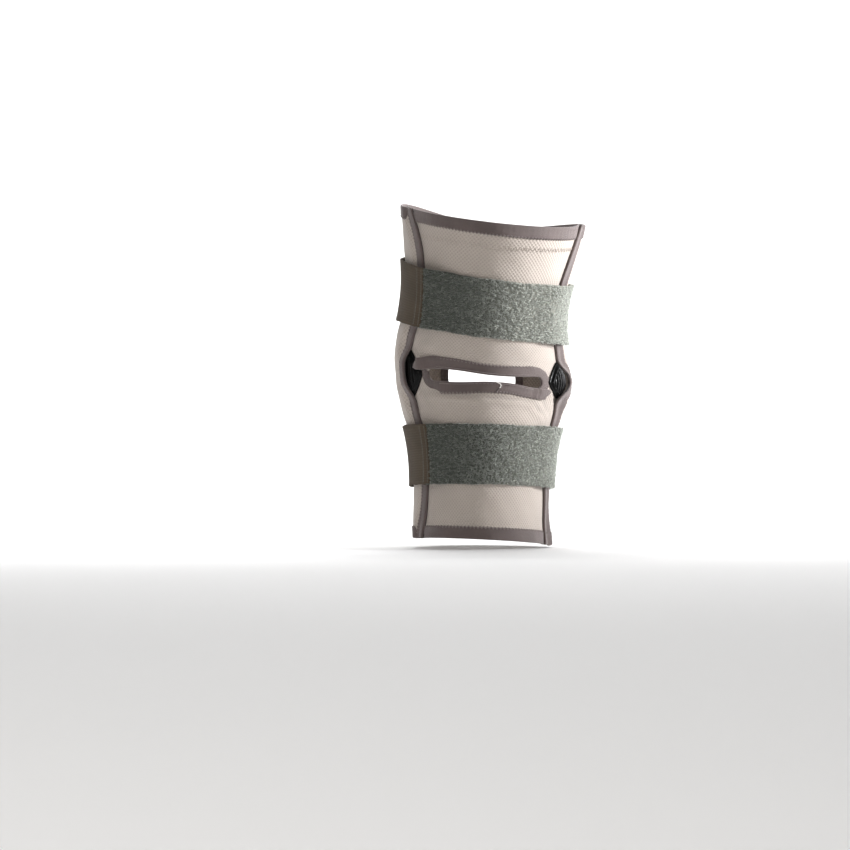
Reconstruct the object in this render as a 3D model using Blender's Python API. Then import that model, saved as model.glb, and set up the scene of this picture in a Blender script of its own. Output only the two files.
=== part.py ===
"""A hinged knee support, in the form that it has on a slightly bent leg.

The origin is the middle of the knee inside the support. +Z is up the leg, -Y is behind the knee,
where the narrow slit is, and +Y is in front of it, where the oval patella opening is.
Every piece follows one leg surface, which is lofted through the sections in SECTIONS. A place on it
is an angle round the leg, 0 behind the knee and growing towards +X, and a height up the leg.
"""

import math
from typing import NamedTuple

import bpy
from mathutils import Matrix, Vector
from mathutils.geometry import delaunay_2d_cdt

# Driving sizes, in metres and degrees
UPPER_LENGTH = 0.1365        # knee centre to the top edge
LOWER_LENGTH = 0.1380        # knee centre to the bottom edge
KNEE_HALF_WIDTH = 0.0650     # inside the panels, at the knee
KNEE_HALF_DEPTH = 0.0600
PANEL_WALL = 0.0018          # knitted fabric
TAPE_WALL = 0.0007           # binding tape
TAPE_WIDTH = 0.0095          # visible width of the folded tape
TAPE_BACK_SHARE = 0.75       # width of its hidden leg, as a share of the visible one
STRAP_WALL = 0.0021
STRAP_WIDTH = 0.0510
SEWING_GAP = 0.00050         # clearance between sewn layers
FACET = 0.0100               # aimed length of the facets

# The front panel's side edges, which lie over the back panel
SEAM_LEFT = 53.0             # angle of the edge, left of the back's middle
SEAM_RIGHT = 69.0
MARGIN_TURN = 31.5           # how far the back panel runs on under the front one

# Hinges and stays
HINGE_HEIGHT = 0.0000        # middle of the hinge above the knee's centre
HINGE_TALL = 0.0420
HINGE_WIDE = 0.0360
HINGE_THICK = 0.0042
HINGE_ROUND = 1.35           # 1 is a sharp rhombus and 2 an ellipse
HINGE_LEFT = 67.5            # angle of the hinge's middle
HINGE_RIGHT = 71.0
RIB_PROUD = 0.0008
RIB_COUNT = 9.0
ARM_WIDE = 0.0120
ARM_THICK = 0.0016
ARM_LENGTH_SHARE = 0.58      # of the panels' length above or below the knee
ARM_FROM_SEAM = 23.0         # angle from the seam to the stay's middle
ARM_BERTH = 8.0              # angle from the stay's middle to its channel's far side

# Openings
SLIT_LEFT = 44.5             # angle of the slit's ends from the back's middle
SLIT_RIGHT = 47.0
SLIT_TALL = 0.0120           # at its widest
SLIT_HEIGHT = 0.0000
SLIT_END_TAPE = 0.0042       # visible width of the tape where it is gathered round the ends
PATELLA_WIDE = 0.0600
PATELLA_TALL = 0.0560
PATELLA_HEIGHT = -0.0010

# Straps
UPPER_STRAP_RISE = 0.480     # the straps' middles, as shares of the panels' lengths
LOWER_STRAP_RISE = -0.489
STRAP_SEAM = 50.0            # angle of the sewn joint between the two sections, on the left
CLOSURE_START = 165.0        # the closure's overlap on the front
CLOSURE_END = 203.0
CLOSURE_RAMP = 12.0          # angle over which the outer end rises onto the inner one

# Edge shaping
TOP_DIP = 0.0160             # how much lower the top edge is in front
BOTTOM_RISE = 0.0070         # how much higher the bottom edge is in front
CORNER_FLARE = 0.0025        # how far the front panel's corners stand off the leg
CORNER_REACH = 0.0400
CORNER_CLEARANCE = 0.0030    # between the level tapes and the side bindings
BACK_TAPE_TRIM = 2.0         # angle between the back's level tapes and the seams
TAPE_TURN = 10.0             # angle that a side binding spans
STAY_RISE_START = 4.0        # angles past the seam where the front panel rises onto the stays
STAY_RISE_END = 9.0
BULGE_FLAT = 0.2             # the hinge bulge's flat top and its reach, as shares of HINGE_TALL
BULGE_REACH = 1.2
LIFT_FADE = 58.0             # angle over which the front panel comes down onto the leg
FLARE_FADE = 44.0            # angle past the seam where the corners' flare has gone
TOP_FLARE_SHARE = 0.5        # flare of the top corners, as a share of the bottom ones'
STRAP_EASE = 0.0005          # a strap's extra room over the seams
STRAP_RISE_START = 32.0      # angles before the seam where a strap rises onto it
STRAP_RISE_END = 6.0

FULL_TURN = 360.0
FRONT = 180.0
ARC_STEPS = 6                # facets round each end of the slit


class Section(NamedTuple):
    """One section of the leg: rise is a share of the length above or below the knee,
    widths and shifts are shares of the knee's half width, depths and leans of its half depth."""

    rise: float
    half_width: float
    back: float
    front: float
    shift: float
    lean: float
    pitch: float
    roll: float


SECTIONS = (
    Section(-1.00, 0.785, 0.88, 0.80, -0.026, -0.18, -4.0, 2.8),
    Section(-0.85, 0.780, 0.90, 0.80, -0.044, -0.14, -4.0, 1.8),
    Section(-0.50, 0.805, 0.94, 0.84, -0.027, -0.06, -4.0, 0.4),
    Section(-0.22, 0.920, 0.94, 0.92, -0.022, -0.01, -2.0, 1.6),
    Section(0.00, 1.000, 0.98, 1.00, -0.010, 0.00, 1.0, 4.0),
    Section(0.20, 0.980, 1.00, 1.04, -0.036, -0.04, 5.0, 6.6),
    Section(0.50, 0.940, 1.03, 1.06, 0.003, -0.16, 9.0, 8.0),
    Section(0.80, 1.030, 1.09, 1.12, 0.066, -0.29, 9.5, 7.6),
    Section(1.00, 1.100, 1.14, 1.18, 0.112, -0.39, 9.5, 6.5),
)


def clamp(value, low, high):
    return max(low, min(high, value))


def smooth(value, start, end):
    """0 before start, 1 after end, and an S curve between."""
    share = clamp((value - start) / (end - start), 0.0, 1.0)
    return share * share * (3.0 - 2.0 * share)


def height_of_rise(rise):
    return rise * (UPPER_LENGTH if rise > 0 else LOWER_LENGTH)


def spline(xs, ys, x):
    """A smooth curve through the points, with slopes from their neighbours."""
    i = 0
    while i < len(xs) - 2 and x > xs[i + 1]:
        i += 1

    def slope(k):
        a = max(k - 1, 0)
        b = min(k + 1, len(xs) - 1)
        return (ys[b] - ys[a]) / (xs[b] - xs[a])

    span = xs[i + 1] - xs[i]
    t = (x - xs[i]) / span
    if t < 0.0:
        return ys[i] + slope(i) * (x - xs[i])
    if t > 1.0:
        return ys[i + 1] + slope(i + 1) * (x - xs[i + 1])
    first = (1 + 2 * t) * (1 - t) ** 2 * ys[i] + t * (1 - t) ** 2 * span * slope(i)
    last = t * t * (3 - 2 * t) * ys[i + 1] + t * t * (t - 1) * span * slope(i + 1)
    return first + last


SECTION_HEIGHTS = [height_of_rise(row.rise) for row in SECTIONS]


class SeamSwing(NamedTuple):
    """How far the front panel's side edges swing forward, in degrees, at a rise."""

    rise: float
    left: float
    right: float


SEAM_SWINGS = (
    SeamSwing(-1.00, 17.0, 9.0),
    SeamSwing(-0.88, 8.0, 11.0),
    SeamSwing(-0.76, 4.5, 12.0),
    SeamSwing(-0.62, 4.5, 6.0),
    SeamSwing(-0.36, 4.5, 3.0),
    SeamSwing(-0.15, 9.5, 6.0),
    SeamSwing(0.00, 12.5, 12.5),
    SeamSwing(0.14, 10.0, 7.0),
    SeamSwing(0.36, 2.0, 0.0),
    SeamSwing(0.70, 0.0, 1.0),
    SeamSwing(0.86, 5.0, 4.5),
    SeamSwing(1.00, 14.0, 9.0),
)
SWING_HEIGHTS = [height_of_rise(row.rise) for row in SEAM_SWINGS]


def section_at(height):
    """The section's values at a height, in metres and degrees."""
    columns = zip(*SECTIONS)
    return Section(*[spline(SECTION_HEIGHTS, column, height) for column in columns])


def leg_point(angle, height, offset):
    """The point at an angle and a height, offset out of the leg's surface."""
    row = section_at(height)
    turn = math.radians(angle)
    across, along = math.sin(turn), -math.cos(turn)
    wide = row.half_width * KNEE_HALF_WIDTH
    deep = KNEE_HALF_DEPTH * (row.back + (row.front - row.back) * smooth(along, -0.5, 0.5))
    outward = Vector((across / wide, along / deep, 0.0)).normalized()
    flat = Vector((wide * across, deep * along, 0.0)) + offset * outward
    tilt = Matrix.Rotation(math.radians(row.roll), 3, "Y") @ Matrix.Rotation(
        math.radians(row.pitch), 3, "X"
    )
    middle = Vector((row.shift * KNEE_HALF_WIDTH, row.lean * KNEE_HALF_DEPTH, height))
    return middle + tilt @ flat


def metres_per_degree(angle, height):
    step = 0.5
    ahead = leg_point(angle + step, height, 0.0)
    behind = leg_point(angle - step, height, 0.0)
    return (ahead - behind).length / (2 * step)


SIDE_SCALE = metres_per_degree(90.0, 0.0)


# Layers over the leg
def from_back(angle):
    """The angle as a signed one, left of the back's middle negative."""
    return (angle + FRONT) % FULL_TURN - FRONT


def seam(height, side):
    """The angle of the front panel's edge, from the back's middle, on side -1 or 1."""
    if side < 0:
        return SEAM_LEFT + spline(SWING_HEIGHTS, [row.left for row in SEAM_SWINGS], height)
    return SEAM_RIGHT + spline(SWING_HEIGHTS, [row.right for row in SEAM_SWINGS], height)


def hinge_angle(side):
    return HINGE_LEFT if side < 0 else HINGE_RIGHT


def arm_angle(side):
    return (SEAM_LEFT if side < 0 else SEAM_RIGHT) + ARM_FROM_SEAM


def front_lift(angle, height):
    """How far the front panel's inner face stands off the leg."""
    signed = from_back(angle)
    side = -1 if signed < 0 else 1
    past_seam = abs(signed) - seam(height, side)
    over_tape = PANEL_WALL + 2 * SEWING_GAP + TAPE_WALL
    over_arm = PANEL_WALL + 2 * SEWING_GAP + ARM_THICK
    over_hinge = over_tape + HINGE_THICK + SEWING_GAP
    rise = over_tape
    rise += (over_arm - over_tape) * smooth(past_seam, STAY_RISE_START, STAY_RISE_END)
    from_hinge = abs(height - HINGE_HEIGHT) / HINGE_TALL
    rise += (over_hinge - rise) * (1.0 - smooth(from_hinge, BULGE_FLAT, BULGE_REACH))
    rise *= 1.0 - smooth(abs(signed), arm_angle(side) + ARM_BERTH, arm_angle(side) + LIFT_FADE)
    low = smooth(-height, LOWER_LENGTH - CORNER_REACH, LOWER_LENGTH)
    high = smooth(height, UPPER_LENGTH - CORNER_REACH, UPPER_LENGTH)
    corner = CORNER_FLARE * max(low, TOP_FLARE_SHARE * high)
    return rise + corner * (1.0 - smooth(past_seam, 0.0, FLARE_FADE))


def back_lift(angle, height):
    """The back panel lies on the leg all over."""
    return 0.0


def strap_lift(angle, height):
    """How far a strap's inner face stands off the leg, over the panels, tapes and stays."""
    signed = from_back(angle)
    side = -1 if signed < 0 else 1
    edge = seam(height, side)
    over_back = PANEL_WALL + SEWING_GAP
    over_seam = front_lift(side * (edge + TAPE_TURN), height)
    over_seam += PANEL_WALL + TAPE_WALL + 2 * SEWING_GAP + STRAP_EASE
    bridge = smooth(abs(signed), edge - STRAP_RISE_START, edge - STRAP_RISE_END)
    bridge *= 1.0 - smooth(abs(signed), arm_angle(side) + ARM_BERTH, arm_angle(side) + LIFT_FADE)
    over_front = front_lift(angle, height) + PANEL_WALL + SEWING_GAP
    laid = over_back + (over_seam - over_back) * bridge
    return max(laid, over_front) if abs(signed) > edge else laid


# Meshes
def add_mesh(name, points, faces, colour, roughness, metallic=0.0):
    mesh = bpy.data.meshes.new(name)
    mesh.from_pydata([tuple(p) for p in points], [], faces)
    mesh.validate()
    mesh.shade_smooth()
    mesh.set_sharp_from_angle(angle=math.radians(40))
    thing = bpy.data.objects.new(name, mesh)
    bpy.context.scene.collection.objects.link(thing)
    material = bpy.data.materials.new(name + "_finish")
    material.use_nodes = True
    shader = material.node_tree.nodes["Principled BSDF"]
    shader.inputs["Base Color"].default_value = (*colour, 1.0)
    shader.inputs["Roughness"].default_value = roughness
    shader.inputs["Metallic"].default_value = metallic
    mesh.materials.append(material)
    return thing


def steps(length):
    return max(2, round(length / FACET))


def between(start, end, count):
    """count places from start to end, without the end."""
    return [start + (end - start) * k / count for k in range(count)]


def inside(point, outline):
    """Whether a flat point is inside a closed outline."""
    x, y = point
    found = False
    for (x1, y1), (x2, y2) in zip(outline, outline[1:] + outline[:1]):
        if (y1 > y) != (y2 > y) and x < x1 + (y - y1) * (x2 - x1) / (y2 - y1):
            found = not found
    return found


def sheet_solid(name, outline, hole, lift, wall, colour, roughness):
    """A closed fabric wall over an outline of angles and heights, with a hole in it."""
    scale = SIDE_SCALE
    rim = [(a * scale, h) for a, h in outline]
    gap = [(a * scale, h) for a, h in hole]
    low_x, high_x = min(p[0] for p in rim), max(p[0] for p in rim)
    low_y, high_y = min(p[1] for p in rim), max(p[1] for p in rim)
    flat = rim + gap
    for path, way in ((outline, 1.0), (hole, -1.0)):
        for k, (angle, height) in enumerate(path):
            turn, rise = inward_step(path, k, True, way * TAPE_WIDTH)
            flat.append(((angle + turn) * scale, height + rise))
    lined = [Vector(p) for p in flat]
    columns, rows = steps(high_x - low_x), steps(high_y - low_y)
    for i in range(1, columns):
        for j in range(1, rows):
            spot = (low_x + (high_x - low_x) * i / columns, low_y + (high_y - low_y) * j / rows)
            clear = min((Vector(spot) - p).length for p in lined) > 0.55 * FACET
            if clear and inside(spot, rim) and not inside(spot, gap):
                flat.append(spot)
    edges = [(k, (k + 1) % len(rim)) for k in range(len(rim))]
    edges += [(len(rim) + k, len(rim) + (k + 1) % len(gap)) for k in range(len(gap))]
    points, _, triangles, _, _, _ = delaunay_2d_cdt(
        [Vector(p) for p in flat], edges, [], 1, 1e-7
    )
    kept = []
    for triangle in triangles:
        middle = sum((points[k] for k in triangle), Vector((0.0, 0.0))) / 3.0
        if inside(tuple(middle), rim) and not inside(tuple(middle), gap):
            kept.append(tuple(triangle))
    count = len(points)
    outer, inner = [], []
    for p in points:
        angle, height = p.x / scale, p.y
        inner.append(leg_point(angle, height, lift(angle, height)))
        outer.append(leg_point(angle, height, lift(angle, height) + wall))
    faces = kept + [tuple(k + count for k in reversed(t)) for t in kept]
    used = set()
    for t in kept:
        used.update(((t[0], t[1]), (t[1], t[2]), (t[2], t[0])))
    for a, b in sorted(used):
        if (b, a) not in used:
            faces.append((b, a, a + count, b + count))
    return add_mesh(name, outer + inner, faces, colour, roughness)


def swept(name, rings, caps, colour, roughness, metallic=0.0):
    """A solid through rings of the same number of points, each clockwise as seen ahead.

    The caps are the faces that close an end, as places in a ring; a closed loop has none."""
    closed = not caps
    size, count = len(rings[0]), len(rings)
    points = [p for ring in rings for p in ring]
    faces = []
    for k in range(count if closed else count - 1):
        here, there = k * size, ((k + 1) % count) * size
        for j in range(size):
            n = (j + 1) % size
            faces.append((here + j, here + n, there + n, there + j))
    if not closed:
        last = (count - 1) * size
        for cap in caps:
            faces.append(tuple(reversed(cap)))
            faces.append(tuple(last + j for j in cap))
    return add_mesh(name, points, faces, colour, roughness, metallic)


def inward_step(path, k, closed, distance):
    """The change of angle and height that moves a path's point to its left by a distance."""
    count = len(path)
    a = path[(k - 1) % count] if closed else path[max(k - 1, 0)]
    b = path[(k + 1) % count] if closed else path[min(k + 1, count - 1)]
    angle, height = path[k]
    scale = metres_per_degree(angle, height)
    before = Vector(((angle - a[0]) * scale, height - a[1])).normalized()
    after = Vector(((b[0] - angle) * scale, b[1] - height)).normalized()
    run = (before + after).normalized()
    mitre = max(run.dot(after if after.length else before), 0.7)
    left = Vector((-run.y, run.x)) * distance / mitre
    return left.x / scale, left.y


# The folded tape's end, as places in its ring: the fold's three faces and its two legs
TAPE_CAPS = ((0, 1, 7), (1, 2, 6, 7), (2, 3, 6), (3, 4, 5, 6), (7, 8, 9, 0))


def full_width(angle):
    return TAPE_WIDTH


def slit_tape_width(angle):
    """The slit's tape is gathered to a narrower one round the slit's ends."""
    end = SLIT_RIGHT if angle > 0 else SLIT_LEFT
    return TAPE_WIDTH + (SLIT_END_TAPE - TAPE_WIDTH) * smooth(abs(angle) / end, 0.76, 1.0)


def tape(name, path, closed, lift, width_at=full_width):
    """A folded binding along a panel's edge, with the panel to the left of the path."""
    fold = SEWING_GAP + TAPE_WALL
    rings = []
    for k, (angle, height) in enumerate(path):
        wide = width_at(angle)

        def spot(inward, layer):
            turn, rise = inward_step(path, k, closed, inward)
            a, h = angle + turn, height + rise
            return leg_point(a, h, lift(a, h) + layer)

        top_low = PANEL_WALL + SEWING_GAP
        top_high = top_low + TAPE_WALL
        bottom_high = -SEWING_GAP
        bottom_low = bottom_high - TAPE_WALL
        round_off = 0.5 * TAPE_WALL
        rings.append(
            [
                spot(0.0, top_high),
                spot(-fold, top_high - round_off),
                spot(-fold, bottom_low + round_off),
                spot(0.0, bottom_low),
                spot(TAPE_BACK_SHARE * wide, bottom_low),
                spot(TAPE_BACK_SHARE * wide, bottom_high),
                spot(-SEWING_GAP, bottom_high),
                spot(-SEWING_GAP, top_low),
                spot(wide, top_low),
                spot(wide, top_high),
            ]
        )
    return swept(name, rings, () if closed else TAPE_CAPS, *TAPE_FINISH)


FABRIC_FINISH = ((0.60, 0.55, 0.50), 0.9)
TAPE_FINISH = ((0.16, 0.13, 0.125), 0.8)
PILE_FINISH = ((0.12, 0.15, 0.13), 1.0)
ELASTIC_FINISH = ((0.17, 0.145, 0.115), 0.85)
PLASTIC_FINISH = ((0.012, 0.012, 0.011), 0.35)
STEEL_FINISH = ((0.55, 0.56, 0.58), 0.35, 1.0)


# Edges of the panels, as heights
def top_edge(angle):
    frontness = smooth(abs(from_back(angle)), 90.0, FRONT)
    return UPPER_LENGTH - TOP_DIP * frontness


def bottom_edge(angle):
    frontness = smooth(abs(from_back(angle)), 90.0, FRONT)
    return -LOWER_LENGTH + BOTTOM_RISE * frontness


def level_run(edge, stops):
    """Places along a level edge through the stops, which are angles, without the last."""
    places = []
    for start, end in zip(stops, stops[1:]):
        length = abs(end - start) * SIDE_SCALE
        places += [(a, edge(a)) for a in between(start, end, math.ceil(length / FACET))]
    return places


def upright_run(angle_at, start, end):
    return [(angle_at(h), h) for h in between(start, end, steps(abs(end - start)))]


def corner_clear():
    """The angle that a level tape leaves for the side binding beside it."""
    return (TAPE_WIDTH + CORNER_CLEARANCE) / SIDE_SCALE


def front_stops(edge):
    """The angles of the front panel's corners and of its level tape's ends."""
    right, left = seam(edge(SEAM_RIGHT), 1), FULL_TURN - seam(edge(SEAM_LEFT), -1)
    return right, right + corner_clear(), left - corner_clear(), left


def back_stops(edge):
    left, right = seam(edge(SEAM_LEFT), -1), seam(edge(SEAM_RIGHT), 1)
    tape_left, tape_right = BACK_TAPE_TRIM - left, right - BACK_TAPE_TRIM
    return -(SEAM_LEFT + MARGIN_TURN), tape_left, tape_right, SEAM_RIGHT + MARGIN_TURN


def front_sides(height):
    return seam(height, 1), FULL_TURN - seam(height, -1)


def back_sides(height):
    return -(SEAM_LEFT + MARGIN_TURN), SEAM_RIGHT + MARGIN_TURN


def panel_outline(stops, sides):
    """A panel's outline, counter-clockwise as seen from outside, from its low first side."""
    low, high = stops(bottom_edge), stops(top_edge)
    outline = level_run(bottom_edge, low)
    outline += upright_run(lambda h: sides(h)[1], bottom_edge(low[-1]), top_edge(high[-1]))
    outline += level_run(top_edge, high[::-1])
    outline += upright_run(lambda h: sides(h)[0], top_edge(high[0]), bottom_edge(low[0]))
    return outline


# Openings, counter-clockwise as seen from outside
class SlitRow(NamedTuple):
    """The slit's height, as a share of SLIT_TALL, at a share of its length from -1 to 1."""

    share: float
    tall: float


SLIT_ROWS = (
    SlitRow(-1.00, 0.90),
    SlitRow(-0.50, 0.86),
    SlitRow(0.00, 0.53),
    SlitRow(0.40, 0.50),
    SlitRow(0.75, 0.68),
    SlitRow(1.00, 0.80),
)


def slit_half(share):
    """Half the slit's height at a share of its length."""
    shares, talls = zip(*SLIT_ROWS)
    return 0.5 * SLIT_TALL * spline(shares, talls, share)


def slit_outline(grow):
    """The slit's edge with round ends, grown outwards by a distance."""
    scale = metres_per_degree(0.0, SLIT_HEIGHT)
    left = -SLIT_LEFT + slit_half(-1.0) / scale
    right = SLIT_RIGHT - slit_half(1.0) / scale
    runs = between(-1.0, 1.0, steps((right - left) * scale))[1:]

    def end_arc(middle, radius, start):
        turns = between(start, start + math.pi, ARC_STEPS) + [start + math.pi]
        return [
            (middle + radius / scale * math.cos(t), SLIT_HEIGHT + radius * math.sin(t))
            for t in turns
        ]

    def edge_spot(share, way):
        angle = left + (right - left) * 0.5 * (share + 1.0)
        return (angle, SLIT_HEIGHT + way * (slit_half(share) + grow))

    outline = [edge_spot(share, -1.0) for share in runs]
    outline += end_arc(right, slit_half(1.0) + grow, -0.5 * math.pi)
    outline += [edge_spot(share, 1.0) for share in reversed(runs)]
    outline += end_arc(left, slit_half(-1.0) + grow, 0.5 * math.pi)
    return outline


def patella_outline(grow):
    wide = 0.5 * PATELLA_WIDE + grow
    tall = 0.5 * PATELLA_TALL + grow
    scale = metres_per_degree(FRONT, PATELLA_HEIGHT)
    count = steps(math.pi * (wide + tall)) + 4
    return [
        (
            FRONT + wide / scale * math.cos(2 * math.pi * k / count),
            PATELLA_HEIGHT + tall * math.sin(2 * math.pi * k / count),
        )
        for k in range(count)
    ]


def make_panels():
    fold = SEWING_GAP + TAPE_WALL
    sheet_solid(
        "front_panel", panel_outline(front_stops, front_sides), patella_outline(fold),
        front_lift, PANEL_WALL, *FABRIC_FINISH,
    )
    sheet_solid(
        "back_panel", panel_outline(back_stops, back_sides), slit_outline(fold),
        back_lift, PANEL_WALL, *FABRIC_FINISH,
    )


def make_bindings():
    fold = SEWING_GAP + TAPE_WALL
    for where, stops, lift in (("front", front_stops, front_lift), ("back", back_stops, back_lift)):
        low = stops(bottom_edge)[1:-1]
        path = level_run(bottom_edge, low) + [(low[-1], bottom_edge(low[-1]))]
        tape(f"bottom_binding_{where}", path, False, lift)
        high = stops(top_edge)[-2:0:-1]
        path = level_run(top_edge, high) + [(high[-1], top_edge(high[-1]))]
        tape(f"top_binding_{where}", path, False, lift)
    for name, number, start, end in (
        ("left", 1, bottom_edge(SEAM_LEFT), top_edge(SEAM_LEFT)),
        ("right", 0, top_edge(SEAM_RIGHT), bottom_edge(SEAM_RIGHT)),
    ):
        path = upright_run(lambda h: front_sides(h)[number], start, end)
        path.append((front_sides(end)[number], end))
        tape(f"side_binding_{name}", path, False, front_lift)
    slit_path, patella_path = slit_outline(fold)[::-1], patella_outline(fold)[::-1]
    tape("slit_binding", slit_path, True, back_lift, slit_tape_width)
    tape("patella_binding", patella_path, True, front_lift)


def make_strap(name, height, start, end, lift, finish):
    """A strap section as a closed band from one angle to another."""
    count = steps((end - start) * metres_per_degree(90.0, height))
    rows = 4
    half = 0.5 * STRAP_WIDTH
    heights = [height - half + STRAP_WIDTH * k / rows for k in range(rows + 1)]
    rings = []
    for k in range(count + 1):
        angle = start + (end - start) * k / count
        outer = [leg_point(angle, h, lift(angle, h) + STRAP_WALL) for h in reversed(heights)]
        inner = [leg_point(angle, h, lift(angle, h)) for h in heights]
        rings.append(outer + inner)
    caps = [(rows - m - 1, rows - m, rows + 1 + m, rows + 2 + m) for m in range(rows)]
    swept(name, rings, caps, *finish)


def over_closure(angle, height):
    """The pile section rises onto the elastic one where they overlap in front."""
    full = CLOSURE_START - 2.0
    step_up = (STRAP_WALL + SEWING_GAP) * smooth(angle, full - CLOSURE_RAMP, full)
    return strap_lift(angle, height) + step_up


def make_straps():
    for name, strap_rise in (("upper", UPPER_STRAP_RISE), ("lower", LOWER_STRAP_RISE)):
        height = height_of_rise(strap_rise)
        joint_gap = SEWING_GAP / metres_per_degree(90.0, height)
        make_strap(f"{name}_strap", height, -STRAP_SEAM, CLOSURE_END, over_closure, PILE_FINISH)
        make_strap(
            f"{name}_strap_elastic", height, CLOSURE_START, FULL_TURN - STRAP_SEAM - joint_gap,
            strap_lift, ELASTIC_FINISH,
        )


class CrownRow(NamedTuple):
    """A ring of the hinge cover: its size as a share of the rim, its height of HINGE_THICK."""

    reach: float
    crown: float
    ribbed: bool


CROWN_ROWS = (
    CrownRow(1.00, 0.45, False),
    CrownRow(0.82, 0.86, True),
    CrownRow(0.50, 0.97, True),
    CrownRow(0.20, 1.00, True),
)
COVER_SIDES = 24


def cover_ring(side, share):
    """Places on a rounded rhombus round the hinge's middle, as distances across and spots."""
    angle = side * hinge_angle(side)
    scale = metres_per_degree(angle, HINGE_HEIGHT)
    ring = []
    for k in range(COVER_SIDES):
        turn = 2 * math.pi * k / COVER_SIDES
        across, along = math.cos(turn), math.sin(turn)
        norm = abs(across) ** HINGE_ROUND + abs(along) ** HINGE_ROUND
        reach = share * norm ** (-1 / HINGE_ROUND)
        x = 0.5 * HINGE_WIDE * reach * across
        y = 0.5 * HINGE_TALL * reach * along
        ring.append((x, angle + x / scale, HINGE_HEIGHT + y))
    return ring


def make_hinge_cover(name, side):
    """A crowned, ribbed cover that lies on the back panel's margin."""
    floor = PANEL_WALL + SEWING_GAP
    rib_pitch = HINGE_WIDE / RIB_COUNT
    angle = side * hinge_angle(side)
    points = [leg_point(angle, HINGE_HEIGHT, floor)]
    for row in reversed(CROWN_ROWS):
        points += [leg_point(a, h, floor) for _, a, h in cover_ring(side, row.reach)]
    for row in CROWN_ROWS:
        for x, a, h in cover_ring(side, row.reach):
            wave = 0.5 + 0.5 * math.cos(2 * math.pi * x / rib_pitch)
            rib = RIB_PROUD * wave * row.ribbed - RIB_PROUD
            points.append(leg_point(a, h, floor + HINGE_THICK * row.crown + rib))
    points.append(leg_point(angle, HINGE_HEIGHT, floor + HINGE_THICK))
    levels = 2 * len(CROWN_ROWS)
    last = len(points) - 1
    faces = []
    for k in range(COVER_SIDES):
        n = (k + 1) % COVER_SIDES
        faces.append((0, 1 + n, 1 + k))
        for level in range(levels - 1):
            here, there = 1 + level * COVER_SIDES, 1 + (level + 1) * COVER_SIDES
            faces.append((here + k, here + n, there + n, there + k))
        top = 1 + (levels - 1) * COVER_SIDES
        faces.append((top + k, top + n, last))
    add_mesh(name, points, faces, *PLASTIC_FINISH)


def make_arm(name, side, way):
    """A flat stay in the channel between the panels, above or below the hinge."""
    angle = side * arm_angle(side)
    beside = (arm_angle(side) - hinge_angle(side)) * metres_per_degree(angle, HINGE_HEIGHT)
    share = clamp((beside - 0.5 * ARM_WIDE) / (0.5 * HINGE_WIDE), 0.0, 1.0)
    clear = 0.5 * HINGE_TALL * (1.0 - share ** HINGE_ROUND) ** (1.0 / HINGE_ROUND) + SEWING_GAP
    low = HINGE_HEIGHT + way * clear
    high = low + way * ARM_LENGTH_SHARE * (UPPER_LENGTH if way > 0 else LOWER_LENGTH)
    if way < 0:
        low, high = high, low
    floor = PANEL_WALL + SEWING_GAP
    count = steps(high - low)
    rings = []
    for k in range(count + 1):
        height = low + (high - low) * k / count
        half = 0.5 * ARM_WIDE / metres_per_degree(angle, height)
        places = ((-1, 0.0), (-1, 1.0), (0, 1.0), (1, 1.0), (1, 0.0), (0, 0.0))
        rings.append(
            [leg_point(angle + half * x, height, floor + ARM_THICK * y) for x, y in places]
        )
    swept(name, rings, ((0, 1, 2, 5), (2, 3, 4, 5)), *STEEL_FINISH)


def make_hinges():
    for side, word in ((-1, "left"), (1, "right")):
        make_hinge_cover(f"hinge_cover_{word}", side)
        make_arm(f"hinge_arm_upper_{word}", side, 1)
        make_arm(f"hinge_arm_lower_{word}", side, -1)


def main():
    for thing in list(bpy.data.objects):
        bpy.data.objects.remove(thing, do_unlink=True)
    make_panels()
    make_bindings()
    make_hinges()
    make_straps()


main()
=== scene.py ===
"""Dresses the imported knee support: fine knitted panels, bindings, straps, ribbed hinges and sewing.

Every place on the support is an angle round the leg, 0 behind the knee and growing towards +X, a
height up the leg, and an offset out of the leg's surface, with the same sizes as the part's source.
"""

import math
from typing import NamedTuple

import bpy
import numpy as np
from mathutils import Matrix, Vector
from mathutils.geometry import delaunay_2d_cdt


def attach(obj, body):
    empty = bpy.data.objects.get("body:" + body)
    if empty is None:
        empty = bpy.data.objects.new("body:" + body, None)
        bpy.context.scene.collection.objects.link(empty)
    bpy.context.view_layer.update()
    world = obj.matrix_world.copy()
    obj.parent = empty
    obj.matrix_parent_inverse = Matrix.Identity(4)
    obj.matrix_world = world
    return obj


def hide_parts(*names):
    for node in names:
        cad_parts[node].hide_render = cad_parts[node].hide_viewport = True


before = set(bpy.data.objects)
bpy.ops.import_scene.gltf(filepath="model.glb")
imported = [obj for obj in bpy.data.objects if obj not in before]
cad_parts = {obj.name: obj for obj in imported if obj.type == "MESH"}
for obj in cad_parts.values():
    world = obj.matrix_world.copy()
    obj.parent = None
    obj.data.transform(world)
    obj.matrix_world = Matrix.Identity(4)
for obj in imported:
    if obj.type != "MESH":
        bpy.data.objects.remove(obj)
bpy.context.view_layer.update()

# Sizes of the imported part, in metres and degrees
UPPER_LENGTH = 0.1365
LOWER_LENGTH = 0.1380
KNEE_HALF_WIDTH = 0.0650
KNEE_HALF_DEPTH = 0.0600
PANEL_WALL = 0.0018
TAPE_WALL = 0.0007
TAPE_WIDTH = 0.0095
TAPE_BACK_SHARE = 0.75
STRAP_WALL = 0.0021
STRAP_WIDTH = 0.0510
SEWING_GAP = 0.00050
SEAM_LEFT = 53.0
SEAM_RIGHT = 69.0
MARGIN_TURN = 31.5
HINGE_TALL = 0.0420
HINGE_WIDE = 0.0360
HINGE_THICK = 0.0042
HINGE_ROUND = 1.35
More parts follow.
